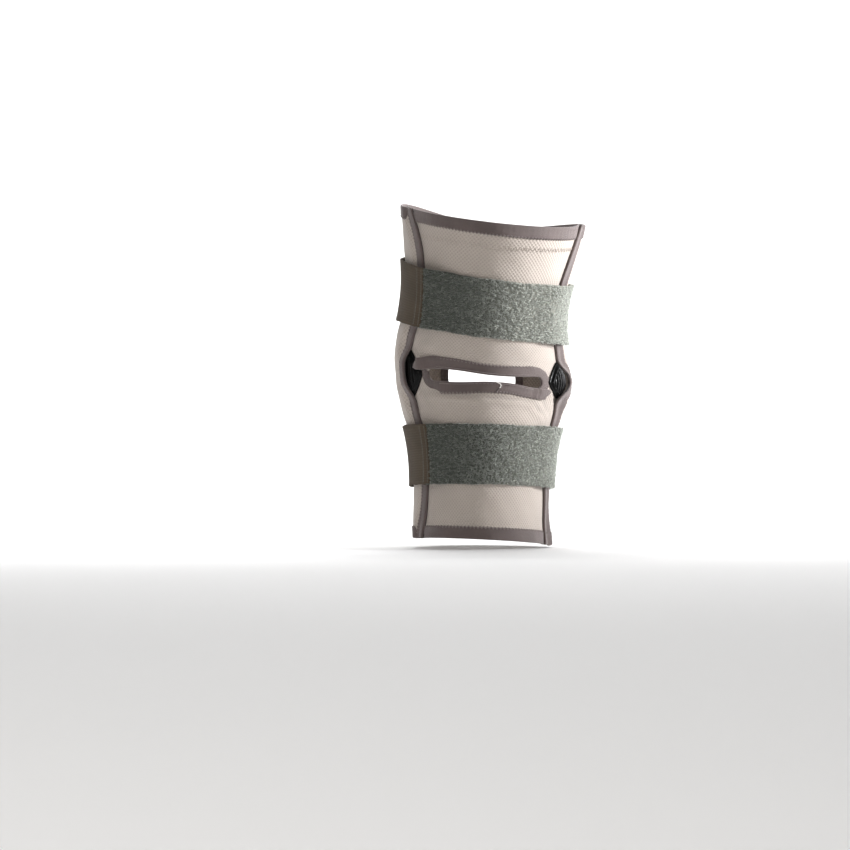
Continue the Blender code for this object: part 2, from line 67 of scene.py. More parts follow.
HINGE_LEFT = 67.5
HINGE_RIGHT = 71.0
RIB_PROUD = 0.0008
RIB_COUNT = 9.0
ARM_THICK = 0.0016
ARM_FROM_SEAM = 23.0
ARM_BERTH = 8.0
SLIT_LEFT = 44.5
SLIT_RIGHT = 47.0
SLIT_TALL = 0.0120
PATELLA_WIDE = 0.0600
PATELLA_TALL = 0.0560
PATELLA_HEIGHT = -0.0010
UPPER_STRAP_HEIGHT = 0.0655
LOWER_STRAP_HEIGHT = -0.0675
STRAP_SEAM = 50.0
CLOSURE_START = 165.0
CLOSURE_END = 203.0
CLOSURE_RAMP = 12.0
TOP_DIP = 0.0160
BOTTOM_RISE = 0.0070
CORNER_FLARE = 0.0025
CORNER_REACH = 0.0400
CORNER_CLEARANCE = 0.0030
BACK_TAPE_TRIM = 2.0
TAPE_TURN = 10.0
STAY_RISE_START = 4.0
STAY_RISE_END = 9.0
BULGE_FLAT = 0.2
BULGE_REACH = 1.2
LIFT_FADE = 58.0
FLARE_FADE = 44.0
TOP_FLARE_SHARE = 0.5
STRAP_EASE = 0.0005
STRAP_RISE_START = 32.0
STRAP_RISE_END = 6.0
FULL_TURN = 360.0
FRONT = 180.0

# Fineness of the dressing
CLOTH_FACET = 0.0022
TAPE_FACET = 0.0016
THREAD_RADIUS = 0.00026
PINCHED_WALL = 0.0009        # the knit where a binding's sewing pinches it
SEWN_GAP = 0.00012           # between a binding and the knit
TAPE_THICK = 0.00048
FOLD = SEWN_GAP + TAPE_THICK  # how far a binding's fold reaches past the knit's edge
SIDE_TAPE_WIDTH = 0.0064
STITCH_PITCH = 0.0030
STITCH_STAND = 0.0001        # how far a stitch's bite stands off the cloth
ZIGZAG_PITCH = 0.0042


class Section(NamedTuple):
    """One section of the leg, in shares of the knee's half sizes and in degrees."""

    rise: float
    half_width: float
    back: float
    front: float
    shift: float
    lean: float
    pitch: float
    roll: float


SECTIONS = (
    Section(-1.00, 0.785, 0.88, 0.80, -0.026, -0.18, -4.0, 2.8),
    Section(-0.85, 0.780, 0.90, 0.80, -0.044, -0.14, -4.0, 1.8),
    Section(-0.50, 0.805, 0.94, 0.84, -0.027, -0.06, -4.0, 0.4),
    Section(-0.22, 0.920, 0.94, 0.92, -0.022, -0.01, -2.0, 1.6),
    Section(0.00, 1.000, 0.98, 1.00, -0.010, 0.00, 1.0, 4.0),
    Section(0.20, 0.980, 1.00, 1.04, -0.036, -0.04, 5.0, 6.6),
    Section(0.50, 0.940, 1.03, 1.06, 0.003, -0.16, 9.0, 8.0),
    Section(0.80, 1.030, 1.09, 1.12, 0.066, -0.29, 9.5, 7.6),
    Section(1.00, 1.100, 1.14, 1.18, 0.112, -0.39, 9.5, 6.5),
)


class SeamSwing(NamedTuple):
    """How far the front panel's side edges swing forward, in degrees, at a rise."""

    rise: float
    left: float
    right: float


SEAM_SWINGS = (
    SeamSwing(-1.00, 17.0, 9.0),
    SeamSwing(-0.88, 8.0, 11.0),
    SeamSwing(-0.76, 4.5, 12.0),
    SeamSwing(-0.62, 4.5, 6.0),
    SeamSwing(-0.36, 4.5, 3.0),
    SeamSwing(-0.15, 9.5, 6.0),
    SeamSwing(0.00, 12.5, 12.5),
    SeamSwing(0.14, 10.0, 7.0),
    SeamSwing(0.36, 2.0, 0.0),
    SeamSwing(0.70, 0.0, 1.0),
    SeamSwing(0.86, 5.0, 4.5),
    SeamSwing(1.00, 14.0, 9.0),
)


class Swing(NamedTuple):
    """A further swing of the right seam, in degrees, that fades beside a height."""

    degrees: float
    height: float
    reach: float


# The right seam's further swings: above and below the hinge alike, and below it alone
EVEN_SWINGS = (Swing(3.2, 0.0, 0.0090), Swing(-2.0, 0.0192, 0.0080))
LOW_SWINGS = (Swing(-8.5, -0.0124, 0.0080), Swing(1.0, -0.0290, 0.0100))
TOP_SWING = 3.4              # degrees, towards the top edge
TOP_SWING_START = 0.088
TOP_SWING_END = 0.130


class SlitRow(NamedTuple):
    """The slit's height, as a share of SLIT_TALL, at a share of its length from -1 to 1."""

    share: float
    tall: float


SLIT_ROWS = (
    SlitRow(-1.00, 0.90),
    SlitRow(-0.50, 0.86),
    SlitRow(0.00, 0.53),
    SlitRow(0.40, 0.50),
    SlitRow(0.75, 0.68),
    SlitRow(1.00, 0.80),
)


# The leg's surface
def smooth(value, start, end):
    """0 before start, 1 after end, and an S curve between."""
    share = np.clip((np.asarray(value, float) - start) / (end - start), 0.0, 1.0)
    return share * share * (3.0 - 2.0 * share)


def bell(value, middle, reach):
    """1 at the middle, and fading both ways within about twice the reach."""
    return np.exp(-(((np.asarray(value, float) - middle) / reach) ** 2))


def height_of_rise(rise):
    return rise * (UPPER_LENGTH if rise > 0 else LOWER_LENGTH)


def spline(xs, ys, x):
    """A smooth curve through the points, with slopes from their neighbours."""
    i = 0
    while i < len(xs) - 2 and x > xs[i + 1]:
        i += 1

    def slope(k):
        a = max(k - 1, 0)
        b = min(k + 1, len(xs) - 1)
        return (ys[b] - ys[a]) / (xs[b] - xs[a])

    span = xs[i + 1] - xs[i]
    t = (x - xs[i]) / span
    if t < 0.0:
        return ys[i] + slope(i) * (x - xs[i])
    if t > 1.0:
        return ys[i + 1] + slope(i + 1) * (x - xs[i + 1])
    first = (1 + 2 * t) * (1 - t) ** 2 * ys[i] + t * (1 - t) ** 2 * span * slope(i)
    last = t * t * (3 - 2 * t) * ys[i + 1] + t * t * (t - 1) * span * slope(i + 1)
    return first + last


DENSE_HEIGHTS = np.linspace(-0.17, 0.17, 1361)
SECTION_HEIGHTS = [height_of_rise(row.rise) for row in SECTIONS]
SWING_HEIGHTS = [height_of_rise(row.rise) for row in SEAM_SWINGS]


def dense(heights, column):
    """A column of a table at the dense heights."""
    return np.array([spline(heights, column, h) for h in DENSE_HEIGHTS])


SECTION_CURVES = [dense(SECTION_HEIGHTS, column) for column in zip(*SECTIONS)]
SWING_CURVES = [dense(SWING_HEIGHTS, column) for column in zip(*SEAM_SWINGS)]


def surface(angle, height, offset):
    """Points at angles and heights, offset out of the leg's surface."""
    angle, height, offset = np.broadcast_arrays(
        np.asarray(angle, float), np.asarray(height, float), np.asarray(offset, float)
    )
    _, half_width, back, front, shift, lean, pitch, roll = [
        np.interp(height, DENSE_HEIGHTS, curve) for curve in SECTION_CURVES
    ]
    turn = np.radians(angle)
    across, along = np.sin(turn), -np.cos(turn)
    wide = half_width * KNEE_HALF_WIDTH
    deep = KNEE_HALF_DEPTH * (back + (front - back) * smooth(along, -0.5, 0.5))
    out_x, out_y = across / wide, along / deep
    length = np.hypot(out_x, out_y)
    x = wide * across + offset * out_x / length
    y = deep * along + offset * out_y / length
    pitch, roll = np.radians(pitch), np.radians(roll)
    y_level, z_level = y * np.cos(pitch), y * np.sin(pitch)
    return np.stack(
        (
            shift * KNEE_HALF_WIDTH + x * np.cos(roll) + z_level * np.sin(roll),
            lean * KNEE_HALF_DEPTH + y_level,
            height - x * np.sin(roll) + z_level * np.cos(roll),
        ),
        axis=-1,
    )


def metres_per_degree(angle, height):
    """How long a degree is on the leg's surface there."""
    step = 0.5
    gap = surface(angle + step, height, 0.0) - surface(angle - step, height, 0.0)
    return np.linalg.norm(gap, axis=-1) / (2 * step)


SIDE_SCALE = float(metres_per_degree(90.0, 0.0))


# Layers over the leg
def from_back(angle):
    """The same angle, between -180 and 180."""
    return (np.asarray(angle, float) + FRONT) % FULL_TURN - FRONT


def seam(height, side):
    """The angle of the front panel's edge, from the back's middle, on side -1 or 1."""
    left = SEAM_LEFT + np.interp(height, DENSE_HEIGHTS, SWING_CURVES[1])
    right = SEAM_RIGHT + np.interp(height, DENSE_HEIGHTS, SWING_CURVES[2])
    for swing in EVEN_SWINGS:
        right = right + swing.degrees * bell(np.abs(height), swing.height, swing.reach)
    for swing in LOW_SWINGS:
        right = right + swing.degrees * bell(height, swing.height, swing.reach)
    right = right + TOP_SWING * smooth(height, TOP_SWING_START, TOP_SWING_END)
    return np.where(np.asarray(side) < 0, left, right)


def arm_angle(side):
    return np.where(np.asarray(side) < 0, SEAM_LEFT, SEAM_RIGHT) + ARM_FROM_SEAM


def side_of(angle):
    return np.where(from_back(angle) < 0, -1, 1)


def front_lift(angle, height):
    """How far the front panel's inner face stands off the leg."""
    turned = np.abs(from_back(angle))
    side = side_of(angle)
    past_seam = turned - seam(height, side)
    over_tape = PANEL_WALL + 2 * SEWING_GAP + TAPE_WALL
    over_arm = PANEL_WALL + 2 * SEWING_GAP + ARM_THICK
    over_hinge = over_tape + HINGE_THICK + SEWING_GAP
    rise = over_tape + (over_arm - over_tape) * smooth(past_seam, STAY_RISE_START, STAY_RISE_END)
    from_hinge = np.abs(height) / HINGE_TALL
    rise = rise + (over_hinge - rise) * (1.0 - smooth(from_hinge, BULGE_FLAT, BULGE_REACH))
    far = (turned - arm_angle(side) - ARM_BERTH) / (LIFT_FADE - ARM_BERTH)
    rise = rise * (1.0 - smooth(far, 0.0, 1.0))
    low = smooth(-np.asarray(height, float), LOWER_LENGTH - CORNER_REACH, LOWER_LENGTH)
    high = smooth(height, UPPER_LENGTH - CORNER_REACH, UPPER_LENGTH)
    corner = CORNER_FLARE * np.maximum(low, TOP_FLARE_SHARE * high)
    return rise + corner * (1.0 - smooth(past_seam, 0.0, FLARE_FADE))


def strap_lift(angle, height):
    """How far a strap's inner face stands off the leg, over the panels, tapes and stays."""
    turned = np.abs(from_back(angle))
    side = side_of(angle)
    edge = seam(height, side)
    over_back = PANEL_WALL + SEWING_GAP
    over_seam = front_lift(side * (edge + TAPE_TURN), height)
    over_seam = over_seam + PANEL_WALL + TAPE_WALL + 2 * SEWING_GAP + STRAP_EASE
    near = (turned - edge + STRAP_RISE_START) / (STRAP_RISE_START - STRAP_RISE_END)
    far = (turned - arm_angle(side) - ARM_BERTH) / (LIFT_FADE - ARM_BERTH)
    bridge = smooth(near, 0.0, 1.0) * (1.0 - smooth(far, 0.0, 1.0))
    laid = over_back + (over_seam - over_back) * bridge
    over_front = front_lift(angle, height) + PANEL_WALL + SEWING_GAP
    return np.where(turned > edge, np.maximum(laid, over_front), laid)


def pile_lift(angle, height):
    """The pile section rises onto the elastic one where they overlap in front."""
    full = CLOSURE_START - 2.0
    step_up = (STRAP_WALL + SEWING_GAP) * smooth(angle, full - CLOSURE_RAMP, full)
    return strap_lift(angle, height) + step_up


# Edges
def top_edge(angle):
    return UPPER_LENGTH - TOP_DIP * smooth(np.abs(from_back(angle)), 90.0, FRONT)


def bottom_edge(angle):
    return -LOWER_LENGTH + BOTTOM_RISE * smooth(np.abs(from_back(angle)), 90.0, FRONT)


CORNER_TURN = (TAPE_WIDTH + CORNER_CLEARANCE) / SIDE_SCALE


def front_stops(edge):
    """The angles of the front panel's right side, its tape's two ends and its left side."""
    right = float(seam(edge(SEAM_RIGHT), 1))
    left = FULL_TURN - float(seam(edge(SEAM_LEFT), -1))
    return right, right + CORNER_TURN, left - CORNER_TURN, left


def back_stops(edge):
    """The angles of the back panel's left margin, its tape's two ends and its right margin."""
    left, right = float(seam(edge(SEAM_LEFT), -1)), float(seam(edge(SEAM_RIGHT), 1))
    tape_left, tape_right = BACK_TAPE_TRIM - left, right - BACK_TAPE_TRIM
    return -(SEAM_LEFT + MARGIN_TURN), tape_left, tape_right, SEAM_RIGHT + MARGIN_TURN


def level_run(edge, start, end, facet):
    """Places along an edge, from one angle to another."""
    count = max(2, math.ceil(abs(end - start) * SIDE_SCALE / facet))
    angles = np.linspace(start, end, count + 1)
    return np.stack((angles, edge(angles)), axis=-1)


def upright_run(angle_at, start, end, facet):
    """Places along a side, from one height to another."""
    count = max(2, math.ceil(abs(end - start) / facet))
    heights = np.linspace(start, end, count + 1)
    return np.stack((angle_at(heights), heights), axis=-1)


def right_seam_angle(height):
    return seam(height, 1)


def left_seam_angle(height):
    return FULL_TURN - seam(height, -1)


def flat_angle(value):
    return lambda height: np.full(np.shape(height), value)


def slit_half(share):
    """Half the slit's height at a share of its length, from -1 to 1."""
    shares, talls = zip(*SLIT_ROWS)
    talls = np.array([spline(shares, talls, s) for s in np.ravel(share)])
    return 0.5 * SLIT_TALL * talls.reshape(np.shape(share))


def slit_droop(angle):
    """The slit's lower edge sags towards its right end."""
    return 0.0017 * smooth(angle, 14.0, 40.0)


def slit_ends():
    """The angles of the middles of the slit's round ends, and the metres in a degree there."""
    scale = float(metres_per_degree(0.0, 0.0))
    left = -SLIT_LEFT + float(slit_half(-1.0)) / scale
    right = SLIT_RIGHT - float(slit_half(1.0)) / scale
    return left, right, scale


def slit_run(way, start, end, facet):
    """Places along the slit's upper or lower edge, way 1 or -1, and straight on past its ends."""
    left, right, scale = slit_ends()
    angles = np.linspace(start, end, math.ceil(abs(end - start) * scale / facet) + 1)
    share = np.clip((angles - left) / (right - left) * 2.0 - 1.0, -1.0, 1.0)
    droop = slit_droop(angles) if way < 0 else 0.0
    return np.stack((angles, way * (slit_half(share) + FOLD) - droop), axis=-1)


def slit_arc(middle, radius, start, end, facet):
    """Places round one end of the slit, between two turns and without the first place."""
    scale = slit_ends()[2]
    count = max(6, math.ceil(abs(end - start) * radius / facet))
    turns = np.linspace(start, end, count + 1)[1:]
    droop = slit_droop(middle) * 0.5 * (1.0 - np.sin(turns))
    return np.stack((middle + radius / scale * np.cos(turns), radius * np.sin(turns) - droop), axis=-1)


def slit_outline(grow, facet):
    """The slit's edge with round ends, counter-clockwise as seen from outside."""
    left, right, scale = slit_ends()
    shares = np.linspace(-1.0, 1.0, math.ceil((right - left) * scale / facet) + 1)
    angles = left + (right - left) * 0.5 * (shares + 1.0)
    tall = slit_half(shares) + grow
    quarter = 0.5 * math.pi
    return np.concatenate(
        (
            np.stack((angles, -tall - slit_droop(angles)), axis=-1),
            slit_arc(right, float(slit_half(1.0)) + grow, -quarter, quarter, facet)[:-1],
            np.stack((angles[::-1], tall[::-1]), axis=-1),
            slit_arc(left, float(slit_half(-1.0)) + grow, quarter, 3 * quarter, facet)[:-1],
        )
    )


def patella_outline(grow, facet):
    """The patella opening's oval edge, grown by a distance."""
    wide = 0.5 * PATELLA_WIDE + grow
    tall = 0.5 * PATELLA_TALL + grow
    scale = float(metres_per_degree(FRONT, PATELLA_HEIGHT))
    count = math.ceil(math.pi * (wide + tall) / facet)
    turns = np.arange(count) * 2 * math.pi / count
    return np.stack(
        (FRONT + wide / scale * np.cos(turns), PATELLA_HEIGHT + tall * np.sin(turns)), axis=-1
    )


# Meshes
def add_mesh(name, points, faces, material, uvs=None, shades=None, sharp=None):
    """An object from points and faces; uvs are cloth places in metres, one a point."""
    mesh = bpy.data.meshes.new(name)
    mesh.from_pydata(np.asarray(points, float).tolist(), [], faces)
    if uvs is not None:
        layer = mesh.uv_layers.new(name="cloth")
        corners = np.empty(len(mesh.loops), dtype=np.int64)
        mesh.loops.foreach_get("vertex_index", corners)
        layer.data.foreach_set("uv", np.asarray(uvs, float)[corners].ravel())
    if shades is not None:
        layer = mesh.attributes.new("shade", "FLOAT", "POINT")
        layer.data.foreach_set("value", np.asarray(shades, float))
    mesh.shade_smooth()
    if sharp is not None:
        mesh.set_sharp_from_angle(angle=math.radians(sharp))
    mesh.materials.append(material)
    thing = bpy.data.objects.new(name, mesh)
    bpy.context.scene.collection.objects.link(thing)
    return thing


def inside(spots, outline):
    """Which flat spots are inside a closed outline."""
    x, y = spots[:, 0][:, None], spots[:, 1][:, None]
    x1, y1 = outline[:, 0][None], outline[:, 1][None]
    x2, y2 = np.roll(x1, -1, axis=1), np.roll(y1, -1, axis=1)
    spans = (y1 > y) != (y2 > y)
    rise = np.where(y2 == y1, 1.0, y2 - y1)
    return (np.sum(spans & (x < x1 + (y - y1) * (x2 - x1) / rise), axis=1) % 2) == 1


def nearest(spots, line):
    """The distance from each spot to the nearest of the line's points."""
    found = np.empty(len(spots))
    for k in range(0, len(spots), 2000):
        block = spots[k:k + 2000]
        gaps = block[:, None, :] - line[None, :, :]
        found[k:k + 2000] = np.sqrt((gaps ** 2).sum(axis=2).min(axis=1))
    return found


def flat_mesh(rim, gap, facet):
    """Points and triangles that fill the flat rim without the gap, in staggered rows."""
    low, high = rim.min(axis=0), rim.max(axis=0)
    rows = np.arange(low[1] + 0.5 * facet, high[1], facet * 0.87)
    columns = np.arange(low[0] + 0.5 * facet, high[0], facet)
    grid = []
    for k, y in enumerate(rows):
        grid.append(np.stack((columns + 0.5 * facet * (k % 2), np.full(len(columns), y)), axis=-1))
    grid = np.concatenate(grid)
    grid = grid[inside(grid, rim)]
    lines = rim
    if gap is not None:
        grid = grid[~inside(grid, gap)]
        lines = np.concatenate((rim, gap))
    grid = grid[nearest(grid, lines) > 0.6 * facet]
    flat = np.concatenate((lines, grid))
    edges = [(k, (k + 1) % len(rim)) for k in range(len(rim))]
    if gap is not None:
        edges += [(len(rim) + k, len(rim) + (k + 1) % len(gap)) for k in range(len(gap))]
    points, _, triangles, _, _, _ = delaunay_2d_cdt([Vector(p) for p in flat], edges, [], 1, 1e-9)
    points = np.array([tuple(p) for p in points])
    triangles = np.array([tuple(t) for t in triangles])
    middles = points[triangles].mean(axis=1)
    kept = inside(middles, rim)
    if gap is not None:
        kept &= ~inside(middles, gap)
    return points, triangles[kept]


def closed_wall(name, points, triangles, inner, outer, material, uvs, shades=None):
    """A closed wall from one flat triangulation and its two faces."""
    count = len(points)
    faces = triangles.tolist() + (triangles[:, ::-1] + count).tolist()
    used = set()
    for a, b, c in triangles.tolist():
        used.update(((a, b), (b, c), (c, a)))
    for a, b in sorted(used):
        if (b, a) not in used:
            faces.append((b, a, a + count, b + count))
    if shades is not None:
        shades = np.concatenate((shades, shades))
    return add_mesh(
        name, np.concatenate((outer, inner)), faces, material, np.concatenate((uvs, uvs)), shades, 60
    )


def swept(name, rings, closed, material, uvs, shades=None):
    """A skin through rings of points, an array of ring, place and axis, with ends unless closed."""
    count, size = rings.shape[:2]
    hops = np.arange(count if closed else count - 1)
    here, there = hops[:, None] * size, ((hops + 1) % count)[:, None] * size
    j = np.arange(size)[None]
    n = (j + 1) % size
    faces = np.stack((here + j, here + n, there + n, there + j), axis=-1).reshape(-1, 4).tolist()
    if not closed:
        faces.append(tuple(range(size - 1, -1, -1)))
        faces.append(tuple((count - 1) * size + k for k in range(size)))
    return add_mesh(name, rings.reshape(-1, 3), faces, material, uvs.reshape(-1, 2), shades, 70)


def run_lengths(points):
    """Distances along a line of points, from 0."""
    return np.concatenate(((0.0,), np.cumsum(np.linalg.norm(np.diff(points, axis=0), axis=1))))


def run_frame(path, closed):
    """Distances along a path of angles and heights, and its leftward steps a metre."""
    scale = metres_per_degree(path[:, 0], path[:, 1])
    if closed:
        before, after = np.roll(path, 1, axis=0), np.roll(path, -1, axis=0)
    else:
        before = np.concatenate((path[:1], path[:-1]))
        after = np.concatenate((path[1:], path[-1:]))
    run = after - before
    flat = np.stack((run[:, 0] * scale, run[:, 1]), axis=-1)
    length = np.linalg.norm(flat, axis=1, keepdims=True)
    left = np.stack((-flat[:, 1], flat[:, 0]), axis=-1) / np.maximum(length, 1e-12)
    left[:, 0] /= scale
    return run_lengths(surface(path[:, 0], path[:, 1], 0.0)), left


# Materials
class Nodes:
    """Short words for building one material's nodes."""

    def __init__(self, name):
        self.material = bpy.data.materials.new(name)
        self.material.use_nodes = True
        self.tree = self.material.node_tree
        self.shader = self.tree.nodes["Principled BSDF"]

    def add(self, kind, **settings):
        node = self.tree.nodes.new(kind)
        for key, value in settings.items():
            setattr(node, key, value)
        return node

    def feed(self, socket, value):
        if isinstance(value, bpy.types.NodeSocket):
            self.tree.links.new(value, socket)
        else:
            socket.default_value = value

    def math(self, operation, a, b=0.0):
        node = self.add("ShaderNodeMath", operation=operation)
        self.feed(node.inputs[0], a)
        self.feed(node.inputs[1], b)
        return node.outputs[0]

    def vector(self, operation, a, b=(0.0, 0.0, 0.0)):
        node = self.add("ShaderNodeVectorMath", operation=operation)
        self.feed(node.inputs[0], a)
        self.feed(node.inputs[1], b)
        return node.outputs["Value" if operation == "LENGTH" else "Vector"]

    def ramp(self, value, low, high, start=0.0, end=1.0):
        node = self.add("ShaderNodeMapRange", interpolation_type="SMOOTHSTEP")
        self.feed(node.inputs["Value"], value)
        node.inputs["From Min"].default_value = low
        node.inputs["From Max"].default_value = high
        node.inputs["To Min"].default_value = start
        node.inputs["To Max"].default_value = end
        return node.outputs["Result"]

    def mix(self, share, a, b):
        node = self.add("ShaderNodeMix", data_type="RGBA")
        self.feed(node.inputs["Factor"], share)
        self.feed(node.inputs["A"], a if isinstance(a, bpy.types.NodeSocket) else (*a, 1.0))
        self.feed(node.inputs["B"], b if isinstance(b, bpy.types.NodeSocket) else (*b, 1.0))
        return node.outputs["Result"]

    def cloth(self):
        return self.add("ShaderNodeUVMap", uv_map="cloth").outputs["UV"]

    def place(self):
        return self.add("ShaderNodeTexCoord").outputs["Object"]

    def shade(self):
        return self.add("ShaderNodeAttribute", attribute_name="shade").outputs["Fac"]

    def noise(self, where, scale, detail=2.0, roughness=0.5):
        node = self.add("ShaderNodeTexNoise")
        self.feed(node.inputs["Vector"], where)
        node.inputs["Scale"].default_value = scale
        node.inputs["Detail"].default_value = detail
        node.inputs["Roughness"].default_value = roughness
        return node.outputs["Fac"]

    def dots(self, where, pitch_u, pitch_v, near, far):
        """1 in the middle of each dot of a staggered grid, 0 past far, in shares of pitch_u."""
        scaled = self.vector("MULTIPLY", where, (1.0 / pitch_u, 1.0 / pitch_v, 0.0))
        found = []
        for shift in (0.0, 0.5):
            moved = self.vector("ADD", scaled, (shift, shift, 0.0))
            part = self.vector("SUBTRACT", self.vector("FRACTION", moved), (0.5, 0.5, 0.0))
            flat = self.vector("MULTIPLY", part, (1.0, pitch_v / pitch_u, 0.0))
            found.append(self.vector("LENGTH", flat))
        return self.ramp(self.math("MINIMUM", *found), near, far, 1.0, 0.0)

    def axis(self, where, axis):
        split = self.add("ShaderNodeSeparateXYZ")
        self.feed(split.inputs[0], where)
        return split.outputs[axis]

    def bump(self, height, distance, strength=1.0, under=None):
        node = self.add("ShaderNodeBump")
        self.feed(node.inputs["Height"], height)
        node.inputs["Distance"].default_value = distance
        node.inputs["Strength"].default_value = strength
        if under is not None:
            self.feed(node.inputs["Normal"], under)
        return node.outputs["Normal"]

    def finish(self, colour, roughness, normal=None, sheen=0.0, sheen_tint=(1.0, 1.0, 1.0)):
        shader = self.shader
        if isinstance(colour, bpy.types.NodeSocket):
            self.feed(shader.inputs["Base Color"], colour)
        else:
            shader.inputs["Base Color"].default_value = (*colour, 1.0)
        self.feed(shader.inputs["Roughness"], roughness)
        shader.inputs["Sheen Weight"].default_value = sheen
        shader.inputs["Sheen Tint"].default_value = (*sheen_tint, 1.0)
        shader.inputs["Sheen Roughness"].default_value = 0.5
        if normal is not None:
            self.feed(shader.inputs["Normal"], normal)
        return self.material


def tinted(colour, share):
    """The colour at a share of its brightness."""
    return tuple(share * c for c in colour)


def centred_wave(nodes, where, axis, pitch):
    """A smooth wave from 0 to 1 along one axis of the place."""
    turn = nodes.math("MULTIPLY", nodes.axis(where, axis), 2.0 * math.pi / pitch)
    return nodes.math("MULTIPLY_ADD", nodes.math("SINE", turn), 0.5)


def knit_material(name, base, pit_shade_colour, depth):
    """A honeycomb spacer knit: staggered pits between fine yarns."""
    nodes = Nodes(name)
    where = nodes.cloth()
    pits = nodes.dots(where, 0.00290, 0.00330, 0.10, 0.42)
    yarn = nodes.dots(where, 0.00062, 0.00074, 0.05, 0.55)
    cloud = nodes.noise(nodes.place(), 22.0, 3.0)
    soil = nodes.ramp(cloud, 0.35, 0.70)
    lit = nodes.mix(soil, base, tinted(base, 0.93))
    # painted shade along the creases' valleys, from the shade attribute
    lit = nodes.mix(nodes.shade(), lit, tinted(base, 0.50))
    # painted shade in the pits and between the yarns, darker where the relief is low
    lit = nodes.mix(nodes.math("MULTIPLY", pits, 0.34), lit, pit_shade_colour)
    lit = nodes.mix(nodes.math("MULTIPLY", yarn, 0.16), lit, tinted(base, 0.72))
    relief = nodes.math("SUBTRACT", nodes.math("MULTIPLY", yarn, -0.22), pits)
    normal = nodes.bump(relief, depth)
    fuzz = nodes.noise(nodes.place(), 1900.0, 2.0)
    normal = nodes.bump(fuzz, 0.00008, 0.6, normal)
    rough = nodes.ramp(pits, 0.0, 1.0, 0.82, 0.95)
    return nodes.finish(lit, rough, normal, sheen=0.25)


def tape_material(name, base):
    """Woven binding tape with fine crosswise ribs."""
    nodes = Nodes(name)
    where = nodes.cloth()
    ribs = centred_wave(nodes, where, 0, 0.00085)
    warp = centred_wave(nodes, where, 1, 0.00060)
    weave = nodes.math("MULTIPLY", ribs, nodes.math("MULTIPLY_ADD", warp, 0.5))
    cloud = nodes.noise(nodes.place(), 60.0, 3.0)
    lit = nodes.mix(nodes.ramp(cloud, 0.3, 0.7), base, tinted(base, 0.80))
    lit = nodes.mix(nodes.math("MULTIPLY", ribs, 0.25), lit, tinted(base, 1.45))
    fleck = nodes.ramp(nodes.noise(where, 1500.0, 1.0), 0.60, 0.75)
    lit = nodes.mix(nodes.math("MULTIPLY", fleck, 0.35), lit, tinted(base, 1.9))
    normal = nodes.bump(weave, 0.00016)
    normal = nodes.bump(nodes.noise(nodes.place(), 900.0, 2.0), 0.00010, 0.5, normal)
    return nodes.finish(lit, 0.75, normal, sheen=0.45, sheen_tint=(0.95, 0.91, 0.92))


def pile_base_material(name, base, pale):
    """The ground of the loop pile, dark between the loops, with painted shade in its low mottles and
    painted light towards the strap's right side.
    """
    nodes = Nodes(name)
    where = nodes.place()
    mottle = nodes.noise(where, 420.0, 3.0, 0.65)
    # painted shade: the ground is darker in its low mottles, where the bump sinks
    wear_and_crevice_shade = nodes.mix(nodes.ramp(mottle, 0.35, 0.65), tinted(base, 0.55), base)
    # painted light towards the strap's right side, from the shade attribute
    lit = nodes.mix(nodes.shade(), wear_and_crevice_shade, pale)
    normal = nodes.bump(mottle, 0.00060)
    return nodes.finish(lit, 0.95, normal, sheen=0.3, sheen_tint=(0.85, 0.95, 0.88))


def loop_material(name, dark, light):
    """The pile's loops, whose colour varies from loop to loop, with painted shade at their feet and painted
    light on tufts and towards the strap's right side.
    """
    nodes = Nodes(name)
    lit = nodes.mix(nodes.shade(), dark, light)
    normal = nodes.bump(nodes.noise(nodes.place(), 5200.0, 2.0), 0.00006, 0.5)
    return nodes.finish(lit, 0.80, normal, sheen=0.6, sheen_tint=(0.92, 0.96, 0.92))


def elastic_material(name, base):
    """Woven elastic: crosswise ribs and lengthwise cords."""
    nodes = Nodes(name)
    where = nodes.cloth()
    cross = centred_wave(nodes, where, 0, 0.00115)
    cords = centred_wave(nodes, where, 1, 0.00210)
    weave = nodes.math("MULTIPLY", nodes.math("MULTIPLY_ADD", cords, 0.6), cross)
    cloud = nodes.noise(nodes.place(), 45.0, 3.0)
    lit = nodes.mix(nodes.ramp(cloud, 0.3, 0.7), base, tinted(base, 0.82))
    lit = nodes.mix(nodes.math("MULTIPLY", weave, 0.40), lit, tinted(base, 1.5))
    fleck = nodes.ramp(nodes.noise(where, 1300.0, 1.0), 0.58, 0.74)
    lit = nodes.mix(nodes.math("MULTIPLY", fleck, 0.4), lit, tinted(base, 1.8))
    normal = nodes.bump(weave, 0.00030)
    return nodes.finish(lit, 0.90, normal, sheen=0.03)


def thread_material(name, base):
    nodes = Nodes(name)
    twist = nodes.noise(nodes.place(), 2600.0, 2.0)
    lit = nodes.mix(nodes.ramp(twist, 0.35, 0.65), base, tinted(base, 1.4))
    normal = nodes.bump(twist, 0.00008)
    return nodes.finish(lit, 0.65, normal, sheen=0.2)


def plastic_material(name):
    """Black moulded plastic with a fine grain and rubbed ribs."""
    nodes = Nodes(name)
    grain = nodes.noise(nodes.place(), 1700.0, 2.0)
    scuffs = nodes.ramp(nodes.noise(nodes.place(), 240.0, 4.0, 0.7), 0.55, 0.75)
    wear_and_crevice_shade = nodes.math("MULTIPLY", scuffs, 0.5)
    lit = nodes.mix(wear_and_crevice_shade, (0.0020, 0.0020, 0.0020), (0.007, 0.007, 0.0066))
    rough = nodes.ramp(scuffs, 0.0, 1.0, 0.30, 0.46)
    material = nodes.finish(lit, rough, nodes.bump(grain, 0.00004, 0.4))
    nodes.shader.inputs["Specular IOR Level"].default_value = 0.10
    return material


